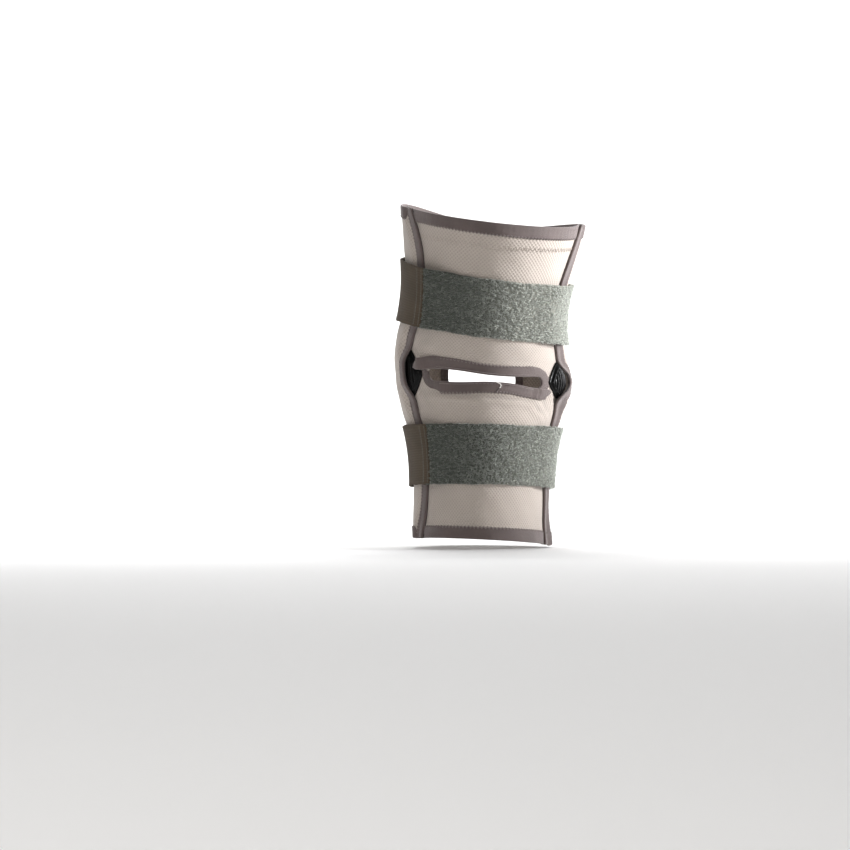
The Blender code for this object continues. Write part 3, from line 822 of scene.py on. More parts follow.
def steel_material(name):
    """Plain rolled spring steel with a lengthwise grain."""
    nodes = Nodes(name)
    where = nodes.vector("MULTIPLY", nodes.place(), (2600.0, 2600.0, 90.0))
    grain = nodes.noise(where, 1.0, 2.0)
    lit = nodes.mix(grain, (0.50, 0.51, 0.53), (0.62, 0.63, 0.65))
    rough = nodes.ramp(grain, 0.3, 0.7, 0.28, 0.42)
    material = nodes.finish(lit, rough, nodes.bump(grain, 0.00002, 0.4))
    nodes.shader.inputs["Metallic"].default_value = 1.0
    return material


KNIT_BASE = (0.50, 0.437, 0.389)
TAPE_BASE = (0.108, 0.080, 0.074)
PILE_BASE = (0.075, 0.082, 0.068)
# painted light colour for the pile ground towards the strap's right side
PILE_PAINTED_LIGHT = (0.250, 0.250, 0.216)
ELASTIC_BASE = (0.066, 0.047, 0.028)
# the knit's colour, and the painted shade colour of its pits
KNIT = knit_material("honeycomb_knit", KNIT_BASE, (0.25, 0.210, 0.178), 0.00028)
TAPE = tape_material("binding_tape_weave", TAPE_BASE)
PILE_GROUND = pile_base_material("pile_ground", PILE_BASE, PILE_PAINTED_LIGHT)
LOOPS = loop_material("pile_loops", (0.030, 0.036, 0.026), (0.86, 0.88, 0.80))
ELASTIC = elastic_material("woven_elastic_ribs", ELASTIC_BASE)
TAPE_THREAD = thread_material("tape_thread", (0.170, 0.140, 0.134))
KNIT_THREAD = thread_material("knit_thread", (0.390, 0.340, 0.300))
# dark yarn for the lip join's thread, and painted shade where it fills the side seams' gaps
CORD = thread_material("seam_cord_yarn", (0.020, 0.014, 0.013))
PALE_THREAD = thread_material("pale_thread", (0.62, 0.60, 0.57))
HOLES = thread_material("needle_hole_shade", (0.290, 0.252, 0.222))
STRAP_THREAD = thread_material("strap_thread", (0.13, 0.12, 0.10))
PLASTIC = plastic_material("ribbed_plastic")
STEEL = steel_material("stay_steel_rolled")


# Folds of the panels, as extra offsets
HALF_STRAP = 0.5 * STRAP_WIDTH
STRAP_MIDDLES = UPPER_STRAP_HEIGHT, LOWER_STRAP_HEIGHT
BESIDE_BULGE = 0.0003        # how far the panel bulges beside a strap
BESIDE_REACH = 0.006


def beside_straps(height):
    """The panel bulges a little beside each strap, which presses into it."""
    total = 0.0
    for middle in STRAP_MIDDLES:
        past = np.abs(np.asarray(height) - middle) - HALF_STRAP
        total = total + np.where(past > 0.0, BESIDE_BULGE * bell(past, BESIDE_REACH, BESIDE_REACH), 0.0)
    return total


def under_strap(height):
    """1 under either strap and 0 clear of both."""
    upper, lower = [
        1.0 - smooth(np.abs(np.asarray(height) - middle), HALF_STRAP - 0.001, HALF_STRAP + 0.004)
        for middle in STRAP_MIDDLES
    ]
    return np.maximum(upper, lower)


class Fold(NamedTuple):
    """A soft ridge from one place to another: x is along the back, in metres, and z up."""

    x1: float
    z1: float
    x2: float
    z2: float
    tall: float
    reach: float


# Creases of the back panel round the slit, as the slack knit folds when the knee bends
BACK_FOLDS = (
    Fold(-0.046, -0.0195, -0.010, -0.0215, 0.00100, 0.0022),
    Fold(-0.014, -0.0215, 0.034, -0.0230, 0.00085, 0.0024),
    Fold(0.044, -0.0205, 0.060, -0.0330, 0.00080, 0.0034),
    Fold(0.040, -0.0255, 0.056, -0.0370, 0.00100, 0.0026),
    Fold(0.0600, -0.0070, 0.0700, -0.0250, 0.00130, 0.0022),
    Fold(-0.052, 0.0200, -0.040, 0.0290, 0.00045, 0.0026),
    Fold(-0.060, -0.0160, -0.050, -0.0300, 0.00050, 0.0024),
    Fold(0.020, 0.0165, 0.050, 0.0150, 0.00030, 0.0024),
)


def ridge(x, z, fold):
    """The fold's height at a place."""
    along = np.array((fold.x2 - fold.x1, fold.z2 - fold.z1))
    length = np.linalg.norm(along)
    along = along / length
    u = (x - fold.x1) * along[0] + (z - fold.z1) * along[1]
    v = -(x - fold.x1) * along[1] + (z - fold.z1) * along[0]
    fade = bell(u, 0.5 * length, 0.62 * length)
    across = v + 0.0006 * np.sin(u * 420.0 + fold.x1 * 900.0)
    valley = 0.45 * bell(across, fold.reach * 1.9, fold.reach)
    return fold.tall * fade * (bell(across, 0.0, fold.reach) - valley)


def back_place(angle, height):
    """The back panel's inner face, with its slack, its creases and the bulges beside the straps."""
    x = np.asarray(angle, float) * SIDE_SCALE
    z = np.asarray(height, float)
    total = 0.00022 * np.sin(x * 96.0 + 1.3 * np.sin(z * 70.0)) * np.sin(z * 88.0 + 0.8)
    total = total + 0.00010 * np.sin(x * 260.0 + z * 190.0)
    for fold in BACK_FOLDS:
        total = total + ridge(x, z, fold)
    total = total + beside_straps(height)
    total = total * (1.0 - under_strap(height))
    total = total - 0.0004 * bell(z, 0.0, 0.024) * bell(x, 0.0, 0.070)
    from_hinge = np.abs(np.abs(x) - HINGE_RIGHT * SIDE_SCALE)
    calm = 1.0 - 0.5 * bell(from_hinge, 0.0, 0.030) * bell(z, 0.0, 0.030)
    return total * (1.0 - 0.9 * smooth(np.abs(x), 0.066, 0.076)) * calm


def crease_shade_amount(angle, height):
    """How much painted shade the knit gets along the valleys beside its creases, from 0 to 1."""
    x = np.asarray(angle, float) * SIDE_SCALE
    total = np.zeros(len(x))
    for fold in BACK_FOLDS:
        total = total + np.clip(-ridge(x, height, fold), 0.0, None) / 0.0009
    return np.clip(total, 0.0, 0.6) * (1.0 - under_strap(height))


def front_folds(angle, height):
    """The front panel's slack and its creases beside the knee."""
    angle = np.asarray(angle, float)
    z = np.asarray(height, float)
    x = (angle - FRONT) * SIDE_SCALE
    total = 0.00025 * np.sin(x * 70.0 + 1.1 * np.sin(z * 60.0)) * np.sin(z * 75.0 + 0.4)
    side = smooth(np.abs(x), 0.030, 0.060) * (1.0 - smooth(np.abs(x), 0.085, 0.105))
    creases = 0.00055 * np.sin(z * 310.0 + 2.2 * np.sin(x * 40.0)) * bell(z, 0.0, 0.038)
    total = total + side * creases
    total = total + beside_straps(height)
    calm = 1.0 - smooth(np.abs(x), 0.085, 0.110)
    return total * (1.0 - under_strap(height)) * (0.15 + 0.85 * calm)


DRAWN_FULL = 5.0             # degrees past the seam where the panel is still drawn right down
DRAWN_END = 12.0             # and where it lies freely
HINGE_FULL = 0.007           # heights from the hinge's middle where its bulge is full
HINGE_END = 0.024            # and over


def front_place(angle, height):
    """The front panel's inner face, drawn down onto the back panel along the seams."""
    past = np.abs(from_back(angle)) - seam(height, side_of(angle))
    low = PANEL_WALL + SEWING_GAP
    over_hinge = PANEL_WALL + 3 * SEWING_GAP + TAPE_WALL + HINGE_THICK
    hugged = low + (over_hinge - low) * (1.0 - smooth(np.abs(height), HINGE_FULL, HINGE_END))
    laid = front_lift(angle, height)
    drawn = np.maximum(laid - hugged, 0.0) * (1.0 - smooth(past, DRAWN_FULL, DRAWN_END))
    return laid + front_folds(angle, height) - drawn


PINCH_START = 0.0035         # where the pinched edge begins to thicken, from the knit's edge
PINCH_END = 0.0085


def wall_at(inward):
    """The knit's thickness at a distance from its bound edge."""
    return PINCHED_WALL + (PANEL_WALL - PINCHED_WALL) * smooth(inward, PINCH_START, PINCH_END)


def make_panel(name, rim, gap, place):
    flat_rim = rim * (SIDE_SCALE, 1.0)
    flat_gap = gap * (SIDE_SCALE, 1.0)
    points, triangles = flat_mesh(flat_rim, flat_gap, CLOTH_FACET)
    angle, height = points[:, 0] / SIDE_SCALE, points[:, 1]
    wall = wall_at(nearest(points, np.concatenate((flat_rim, flat_gap))))
    middle = place(angle, height) + 0.5 * PANEL_WALL
    inner = surface(angle, height, middle - 0.5 * wall)
    outer = surface(angle, height, middle + 0.5 * wall)
    # painted shade along the back panel's crease valleys, carried by the shade attribute
    painted_crease_shade = crease_shade_amount(angle, height) if place is back_place else np.zeros(len(points))
    return closed_wall(name, points, triangles, inner, outer, KNIT, points, painted_crease_shade)


def panel_rim(stops, left_side, right_side):
    """A panel's outline; the sides are angles at heights."""
    low, high = stops(bottom_edge), stops(top_edge)
    facet = CLOTH_FACET
    runs = (
        level_run(bottom_edge, low[0], low[-1], facet),
        upright_run(right_side, bottom_edge(low[-1]), top_edge(high[-1]), facet),
        level_run(top_edge, high[-1], high[0], facet),
        upright_run(left_side, top_edge(high[0]), bottom_edge(low[0]), facet),
    )
    return np.concatenate([run[:-1] for run in runs])


def make_panels():
    front_rim = panel_rim(front_stops, right_seam_angle, left_seam_angle)
    back_rim = panel_rim(
        back_stops, flat_angle(-(SEAM_LEFT + MARGIN_TURN)), flat_angle(SEAM_RIGHT + MARGIN_TURN)
    )
    front = make_panel("knit_front", front_rim, patella_outline(FOLD, CLOTH_FACET), front_place)
    back = make_panel("knit_back", back_rim, slit_outline(FOLD, CLOTH_FACET), back_place)
    return front, back


# Bindings
TAPE_TOP = 11                # points across a tape's outer leg
TAPE_HIDDEN = 0.00004        # how far a tape's hidden face stands off the gap to the knit
TAPE_CROWN = 0.00022
PUCKER = 0.00010             # a tape's small waves from stitch to stitch
WANDER = 0.00016             # its slow waves
HINGE_GATHER = 0.0016        # how much narrower a side tape is at its hinge
END_REACH = 0.0030           # how far a side tape's end is rounded
END_CUT = 0.0026


def tape_places(wide, squeeze, lift):
    """The folded tape's outline at each place of its run, as inward distances and as layers.

    squeeze is 1 where the tape has left the panel's edge and lies on the panel, with no knit in
    it, and lift is how far it is raised there.
    """
    wide, squeeze, lift = wide[:, None], squeeze[:, None], lift[:, None]
    folded = 1.0 - squeeze
    middle = 0.5 * PANEL_WALL + squeeze * (0.5 * PANEL_WALL + FOLD) + lift
    inwards, layers = [], []

    def leg(shares, width, sign, thick, crown=0.0):
        inward = shares[None] * width
        knit = (0.5 * wall_at(inward) + SEWN_GAP) * folded
        swell = crown * np.sin(np.pi * np.clip(shares * 1.03, 0.0, 1.0))[None]
        inwards.append(np.broadcast_to(inward, (len(middle), len(shares))))
        layers.append(middle + sign * (knit + thick + swell))

    def bend(turns, radius):
        reach = (0.5 * PINCHED_WALL + SEWN_GAP) * folded + radius
        inwards.append(-(SEWN_GAP + radius) * np.cos(turns)[None] * np.ones_like(middle))
        layers.append(middle + reach * np.sin(turns)[None])

    quarter = 0.5 * math.pi
    back_width = TAPE_BACK_SHARE * wide
    leg(np.linspace(1.0, 0.0, TAPE_TOP), wide, 1.0, TAPE_THICK, TAPE_CROWN)
    bend(np.linspace(quarter, -quarter, 9)[1:-1], TAPE_THICK)
    leg(np.linspace(0.0, 1.0, 6), back_width, -1.0, TAPE_THICK)
    leg(np.linspace(1.0, 0.0, 6), back_width, -1.0, TAPE_HIDDEN)
    bend(np.linspace(-quarter, quarter, 5)[1:-1], TAPE_HIDDEN)
    leg(np.linspace(0.0, 1.0, 6), wide, 1.0, TAPE_HIDDEN)
    return np.concatenate(inwards, axis=1), np.concatenate(layers, axis=1)


def full_width(path):
    return np.full(len(path), TAPE_WIDTH)


def round_end(share, full=0.97):
    """How much of its width a tape's round end has lost, at a share of the way to its tip."""
    return 1.0 - np.sqrt(1.0 - (full * share) ** 2)


def side_width(path):
    """A side binding is gathered where it passes its hinge, and its ends are rounded."""
    wide = np.where(from_back(path[:, 0]) > 0, TAPE_WIDTH, SIDE_TAPE_WIDTH)
    height = path[:, 1]
    from_end = np.minimum(height - height.min(), height.max() - height)
    end = np.clip(1.0 - from_end / END_REACH, 0.0, 1.0)
    return wide - HINGE_GATHER * bell(height, 0.0, 0.0150) - END_CUT * round_end(end, 1.0)


def tape_spots(path, left, inward, layer, place):
    """Points at distances inward of a path and at layers, on the panel that place says."""
    angle = path[:, 0][:, None] + left[:, 0][:, None] * inward
    height = path[:, 1][:, None] + left[:, 1][:, None] * inward
    return surface(angle, height, place(angle, height) + layer)


def cloth_grid(along, around):
    return np.stack(np.broadcast_arrays(along[:, None], around[None]), axis=-1)


def make_tape(name, path, closed, place, width_at, squeeze=0.0, lift=0.0, step=None):
    """A folded binding; step adds a height from the distances inward and the path's angles."""
    along, left = run_frame(path, closed)
    none = np.zeros(len(path))
    inward, layer = tape_places(width_at(path), none + squeeze, none + lift)
    pucker = PUCKER * np.sin(along * 2 * math.pi / STITCH_PITCH)
    wander = WANDER * np.sin(along * 61.0 + 1.7 * np.sin(along * 23.0))
    raised = (pucker + wander)[:, None]
    if step is not None:
        raised = raised + step(inward, path[:, 0][:, None])
    layer = layer + np.where(np.arange(inward.shape[1])[None] < TAPE_TOP, raised, 0.0)
    rings = tape_spots(path, left, inward, layer, place)
    middle = len(path) // 2
    around = run_lengths(np.stack((inward[middle], layer[middle]), axis=-1))
    return swept(name, rings, closed, TAPE, cloth_grid(along, around))


def under_side(_, angle):
    """The front's edge bindings run thinner under the ends of the side ones."""
    from_end = np.minimum(angle - angle.min(), angle.max() - angle) * SIDE_SCALE
    return -0.00045 * (1.0 - smooth(from_end, 0.0016, 0.0036))


# Threads
def unit(vectors):
    return vectors / (np.linalg.norm(vectors, axis=-1, keepdims=True) + 1e-12)


def round_rings(spots, ahead, out, radius, turns):
    """Rings round the spots of one thread or of many, set by the outward directions."""
    ahead = unit(ahead)
    side = unit(np.cross(ahead, out))
    up = np.cross(side, ahead)
    cosines, sines = np.cos(turns)[:, None], np.sin(turns)[:, None]
    return spots[..., None, :] + radius * (side[..., None, :] * cosines + up[..., None, :] * sines)


def tube(name, spots, out, radius, material, closed=False, sides=4):
    """A thread through spots, set by the outward directions there."""
    if closed:
        ahead = np.roll(spots, -1, axis=0) - np.roll(spots, 1, axis=0)
    else:
        ahead = np.gradient(spots, axis=0)
    rings = round_rings(spots, ahead, out, radius, np.arange(sides) * 2 * math.pi / sides)
    return swept(name, rings[:, ::-1], closed, material, np.zeros(rings.shape[:2] + (2,)))


def raised_spots(angle, height, layer):
    """Points at layers over the leg, and a short step straight out from each."""
    spots = surface(angle, height, layer)
    return spots, surface(angle, height, layer + 0.001) - spots


def beside(path, left, along, run, inward):
    """Angles and heights at distances run along a path and at distances inward of it."""
    return [
        np.interp(run, along, path[:, k]) + np.interp(run, along, left[:, k]) * inward
        for k in (0, 1)
    ]


def zigzag(name, path, closed, place, bites, layers, pitch, radius, material):
    """A zigzag stitch along a path, a pitch a pair; bites are its near and far distances inward."""
    along, left = run_frame(path, closed)
    stitches = max(4, 2 * round(along[-1] / pitch))
    t = np.linspace(0.0, stitches, stitches * 4 + 1)
    if closed:
        t = t[:-1]
    run = t / stitches * along[-1]
    near, far = [np.interp(run, along, np.broadcast_to(bite, len(path))) for bite in bites]
    saw = 1.0 - np.abs((t % 2.0) - 1.0)
    angle, height = beside(path, left, along, run, near + (far - near) * saw)
    arch = np.abs(np.sin(np.pi * t)) ** 0.7
    lift = layers[0] + (layers[1] - layers[0]) * smooth(saw, 0.35, 0.75)
    layer = place(angle, height) + lift + radius * (1.3 * arch - 0.7)
    return tube(name, *raised_spots(angle, height, layer), radius, material, closed)


def running(name, path, place, inward, layer, pitch, material):
    """A row of straight stitches along a path, each with a short gap after it."""
    along, left = run_frame(path, False)
    stitches = max(4, round(along[-1] / pitch))
    t = np.linspace(0.0, stitches, stitches * 6 + 1)
    angle, height = beside(path, left, along, t / stitches * along[-1], inward)
    arch = np.abs(np.sin(np.pi * t)) ** 0.5
    layer = place(angle, height) + layer + THREAD_RADIUS * (1.7 * arch - 1.2)
    return tube(name, *raised_spots(angle, height, layer), THREAD_RADIUS, material)


# The bindings' runs
UNDER_SIDE = 0.0080          # how far the front's edge tapes run on under the side ones
TOP_RIGHT_START = 0.0075     # from the front's top right corner to its top tape
SIDE_PAST = 0.0007           # how far the side tapes pass the panel's edges


class TapeRun(NamedTuple):
    """One binding: its piece name, the node it stands for, its path, its panel and its width."""

    name: str
    node: str
    path: np.ndarray
    closed: bool
    place: object
    width_at: object


def tape_runs():
    """The edge tapes, the side tapes and the patella opening's."""
    runs = []
    for where, stops, place in (("front", front_stops, front_place), ("back", back_stops, back_place)):
        low, high = stops(bottom_edge)[1:3], stops(top_edge)[1:3]
        if where == "front":
            under = UNDER_SIDE / SIDE_SCALE
            low = low[0] - under, low[1] + under
            corner = stops(top_edge)[0]
            scale = float(metres_per_degree(corner, top_edge(corner)))
            high = corner + TOP_RIGHT_START / scale, high[1] + under
        for word, edge, start, end in (
            ("bottom", bottom_edge, low[0], low[1]), ("top", top_edge, high[1], high[0]),
        ):
            path = level_run(edge, start, end, TAPE_FACET)
            name, node = f"tape_{word}_{where}", f"{word}_binding_{where}"
            runs.append(TapeRun(name, node, path, False, place, full_width))
    for word, seam_angle, at in (
        ("left", left_seam_angle, SEAM_LEFT), ("right", right_seam_angle, SEAM_RIGHT),
    ):
        ends = [bottom_edge(at) - SIDE_PAST, top_edge(at) + SIDE_PAST]
        if word == "right":
            ends.reverse()
        path = upright_run(seam_angle, *ends, TAPE_FACET)
        name, node = f"tape_side_{word}", f"side_binding_{word}"
        runs.append(TapeRun(name, node, path, False, front_place, side_width))
    path = patella_outline(FOLD, TAPE_FACET)[::-1]
    runs.append(TapeRun("tape_patella", "patella_binding", path, True, front_place, full_width))
    return runs


def make_inner_tapes():
    """The back's edge bindings go on inside the front panel, folded over the knit's edge alone."""
    across = np.linspace(0.0, 1.0, 6) * TAPE_BACK_SHARE * TAPE_WIDTH
    turns = np.linspace(0.5 * math.pi, -0.5 * math.pi, 9)[:-1]
    deep, level = [], []
    for way, thick in ((1, TAPE_THICK), (-1, TAPE_HIDDEN)):
        bend = 0.5 * PANEL_WALL + (0.5 * PINCHED_WALL + SEWN_GAP + thick) * np.sin(turns)
        flat = 0.5 * (PANEL_WALL - wall_at(across)) - SEWN_GAP - thick
        deep.append(np.concatenate((-(SEWN_GAP + thick) * np.cos(turns), across))[::way])
        level.append(np.concatenate((bend, flat))[::way])
    deep, level = np.concatenate(deep), np.concatenate(level)
    around = run_lengths(np.stack((deep, level), axis=-1))
    for where, edge in (("top", top_edge), ("bottom", bottom_edge)):
        margin_left, tape_left, tape_right, margin_right = back_stops(edge)
        for word, start, end in (("right", margin_right, tape_right), ("left", tape_left, margin_left)):
            if where == "bottom":
                start, end = end, start
            path = level_run(edge, start, end, TAPE_FACET)
            along, left = run_frame(path, False)
            rings = tape_spots(path, left, deep[None], level[None], back_place)
            piece = swept(f"tape_inside_{where}_{word}", rings, False, TAPE, cloth_grid(along, around))
            seat(piece, "binding_tape")


# The slit's two lips
LIP_TAIL = 56.5              # angle of each lip's end, the upper one's over the left hinge
JOIN_ANGLE = 10.6            # where the lower lip's two tapes meet
LIP_FACET = 0.75 * TAPE_FACET
UPPER_TAIL_WIDTH = 0.0048
LOWER_TAIL_WIDTH = 0.0058


def join_bend(share):
    """The curve of the cut, in degrees, at a share of the tape's width."""
    return 1.6 * np.sin(share * 5.2)


def join_step(inward, angle):
    """The lower lip's left tape lies over the end of its right one, along a curved cut."""
    edge = smooth(JOIN_ANGLE + join_bend(inward / TAPE_WIDTH) - angle, 0.0, 0.7)
    return 0.00050 * edge * (1.0 - smooth(JOIN_ANGLE - angle, 8.0, 26.0))


def make_upper_lip():
    """From its tail on the left hinge to the slit's right end, round which it curls."""
    left, right, scale = slit_ends()
    arc = slit_arc(right, float(slit_half(1.0)) + FOLD, 0.5 * math.pi, -0.36 * math.pi, LIP_FACET)
    path = np.concatenate((slit_run(1, -LIP_TAIL, right, LIP_FACET), arc))
    past = -path[:, 0]
    run = run_lengths(path * (scale, 1.0))
    squeeze = smooth(past, -left - 1.0, -left + 6.0)
    over_lower, over_hinge = smooth(past, -left - 8.0, -left + 1.5), smooth(past, 41.0, 53.0)
    lift = 0.0007 * over_lower + 0.0031 * over_hinge
    nose = np.clip((past - LIP_TAIL + 3.4) / 3.4, 0.0, 1.0)
    path[:, 1] += 0.0013 * nose ** 2 - 0.0022 * smooth(past, 36.0, 50.0)

    def width_at(path):
        curl = smooth(run - run[-1], -0.0210, -0.0040)
        tail = UPPER_TAIL_WIDTH * round_end(nose) + 0.0010 * smooth(past, 40.0, 52.0)
        return TAPE_WIDTH + 0.0010 - 0.0032 * curl - tail - 0.0012 * bell(path[:, 0], 12.0, 22.0)

    return make_tape("lip_upper", path, False, back_place, width_at, squeeze, lift)


def make_lower_lip():
    """From its tail past the slit's right end, under the upper lip, to the slit's left end."""
    left, right, _ = slit_ends()
    arc = slit_arc(left, float(slit_half(-1.0)) + FOLD, -0.5 * math.pi, -1.14 * math.pi, LIP_FACET)
    path = np.concatenate((slit_run(-1, LIP_TAIL, left, LIP_FACET), arc))
    angle = path[:, 0]
    squeeze = smooth(angle, right + 0.5, right + 3.0)
    lift = 0.0013 * smooth(angle, right - 5.0, right + 0.5)
    nose = np.clip((angle - LIP_TAIL + 4.2) / 4.2, 0.0, 1.0)
    path[:, 1] -= 0.0004 * smooth(angle, right - 2.0, right + 6.0) + 0.0028 * nose ** 2

    def width_at(path):
        end = smooth(-path[:, 0], -left - 9.0, -left + 1.0)
        narrower = (LOWER_TAIL_WIDTH - TAPE_WIDTH) * end - LOWER_TAIL_WIDTH * round_end(nose)
        return TAPE_WIDTH + 0.0004 + narrower

    return make_tape("lip_lower", path, False, back_place, width_at, squeeze, lift, join_step)


def make_join():
    """A pale and a dark thread along the cut where the lower lip's two tapes meet."""
    rim = slit_run(-1, JOIN_ANGLE, JOIN_ANGLE + 0.1, LIP_FACET)[0]
    for name, start, end, radius, colour in (
        ("join_thread_pale", -0.16, 0.52, 0.00042, PALE_THREAD),
        ("join_thread_dark", 0.50, 1.0, 0.00032, CORD),
    ):
        share = np.linspace(start, end, 22)
        inward = TAPE_WIDTH * share
        angle = JOIN_ANGLE + join_bend(share) - 0.25 - 1.3 * smooth(-share, -0.10, 0.06)
        height = rim[1] - inward
        layer = back_place(angle, height) + 0.5 * (PANEL_WALL + wall_at(inward)) + FOLD
        spots, out = raised_spots(angle, height, layer + 0.00060)
        seat(tube(name, spots, out, radius, colour, sides=5), "binding_tape")


def make_lips():
    """The slit's binding: the upper lip overlaps the lower one at both ends."""
    for lip in (make_upper_lip(), make_lower_lip()):
        seat(lip, "binding_tape", "slit_binding")
    make_join()
    left, right, _ = slit_ends()
    top = PANEL_WALL + FOLD
    bites = TAPE_WIDTH - 0.0012, TAPE_WIDTH + 0.0011
    layers = top + STITCH_STAND, PANEL_WALL + STITCH_STAND
    for word, way, start, end in (("upper", 1, -40.0, right - 2.0), ("lower", -1, right + 2.0, left + 5.0)):
        path = slit_run(way, start, end, LIP_FACET)
        piece = zigzag(
            f"stitches_slit_{word}", path, False, back_place, bites, layers,
            STITCH_PITCH, 0.00034, TAPE_THREAD,
        )
        seat(piece, "binding_tape")
        piece = running(
            f"fold_stitches_slit_{word}", path, back_place, 0.0013, top - 0.00016,
            STITCH_PITCH, TAPE_THREAD,
        )
        seat(piece, "binding_tape")


# Straps
STRAP_FACET = 0.0022
STRAP_ROUND = 0.0009         # the rounding of a band's edges
UPPER_DIP = 0.0036           # how far the upper strap dips past the right hinge
LOWER_CLIMB = 0.0006         # how far the lower one climbs there
HALFWAY = 95.0               # where a strap's loops get sparser, at its right side


def strap_profile(rows=18):
    """The band's outline as shares across and layers: the outer face, then the inner one."""
    corner = STRAP_ROUND / STRAP_WIDTH
    flat = 0.5 - corner
    outline = []
    for sign, layer in ((1.0, STRAP_WALL), (-1.0, 0.0)):
        outline += [(share, layer) for share in np.linspace(sign * flat, -sign * flat, rows)]
        for turn in np.linspace(0.5 * math.pi, 1.5 * math.pi, 5)[1:-1]:
            rise = 0.5 * STRAP_WALL * (1.0 + sign * math.sin(turn))
            outline.append((sign * (corner * math.cos(turn) - flat), rise))
    return np.array(outline)


def strap_edge_wave(angle, middle):
    """The band's edges wander a little along its length, and the upper one dips past the hinge."""
    wave = 0.00025 * np.sin(np.radians(angle) * 9.0) + 0.00018 * np.sin(np.radians(angle) * 23.0)
    return wave - (UPPER_DIP if middle > 0 else -LOWER_CLIMB) * bell(angle, 104.0, 30.0)


def pile_painted_light(angle, middle):
    """How much painted light a strap's pile gets, standing in for the key light raking across it: most on
    the upper one's right side.
    """
    most = 1.0 if middle > 0.0 else 0.76
    return most * smooth(angle, -28.0, 34.0) * (1.0 - smooth(angle, 105.0, 150.0))


def make_band(name, middle, start, end, lift, material, crown):
    """One flat section of a strap, at a height and between two angles."""
    angles = np.linspace(start, end, math.ceil((end - start) * SIDE_SCALE / STRAP_FACET) + 1)
    shares, layers = strap_profile().T
    heights = middle + shares[None] * STRAP_WIDTH + strap_edge_wave(angles, middle)[:, None]
    angle = np.broadcast_to(angles[:, None], heights.shape)
    swell = np.where(layers > 0.5 * STRAP_WALL, crown * np.cos(np.pi * shares) ** 2, 0.0)
    rings = surface(angle, heights, lift(angle, heights) + layers[None] + swell[None])
    uvs = np.stack((angle * SIDE_SCALE, heights - middle), axis=-1)
    # the shades are painted light for the pile ground; the elastic does not read them
    return swept(name, rings, False, material, uvs, (pile_painted_light(angle, middle) ** 2).ravel())


def clumps(u, v):
    """0 to 1 in soft patches a few millimetres wide, where the pile stands up in tufts."""
    a = np.sin(u * 1010.0 + 2.6 * np.sin(v * 640.0 + 0.7)) * np.sin(v * 1090.0 + 2.4 * np.sin(u * 560.0))
    b = np.sin((u + v) * 630.0 + 2.2 * np.sin((u - v) * 430.0)) * np.sin((u - v) * 700.0 + 1.2)
    return np.clip(0.42 + 0.60 * a + 0.45 * b, 0.0, 1.0)


LOOP_STOPS = 5               # rings of points along a loop of pile
LOOP_SIDES = 3               # points in each ring
LOOP_OVERHANG = 0.0004       # how far the loops reach past the band's edges
LOOP_JITTER = 0.55           # how far a loop strays from its place, in pitches
LOOP_LENGTHS = 0.0015, 0.0033
LOOP_RISES = 0.00015, 0.00050
LOOP_RADII = 0.00016, 0.00027
LOOP_CURL = 1.4              # the most that a loop curls sideways, in lengths
LOOP_SINK = 0.00012          # how deep the loops' ends are in the band
TUFT_RISE = 0.00110          # how much higher the loops stand in a tuft


def loop_faces(count):
    """The open skins' faces of a number of loops, whose points follow each other."""
    k = np.arange(LOOP_STOPS - 1)[:, None] * LOOP_SIDES
    j = np.arange(LOOP_SIDES)[None]
    n = (j + 1) % LOOP_SIDES
    one = np.stack((k + j, k + LOOP_SIDES + j, k + LOOP_SIDES + n, k + n), axis=-1).reshape(-1, 4)
    first = np.arange(count)[:, None, None] * LOOP_STOPS * LOOP_SIDES
    return (first + one[None]).reshape(-1, 4).tolist()


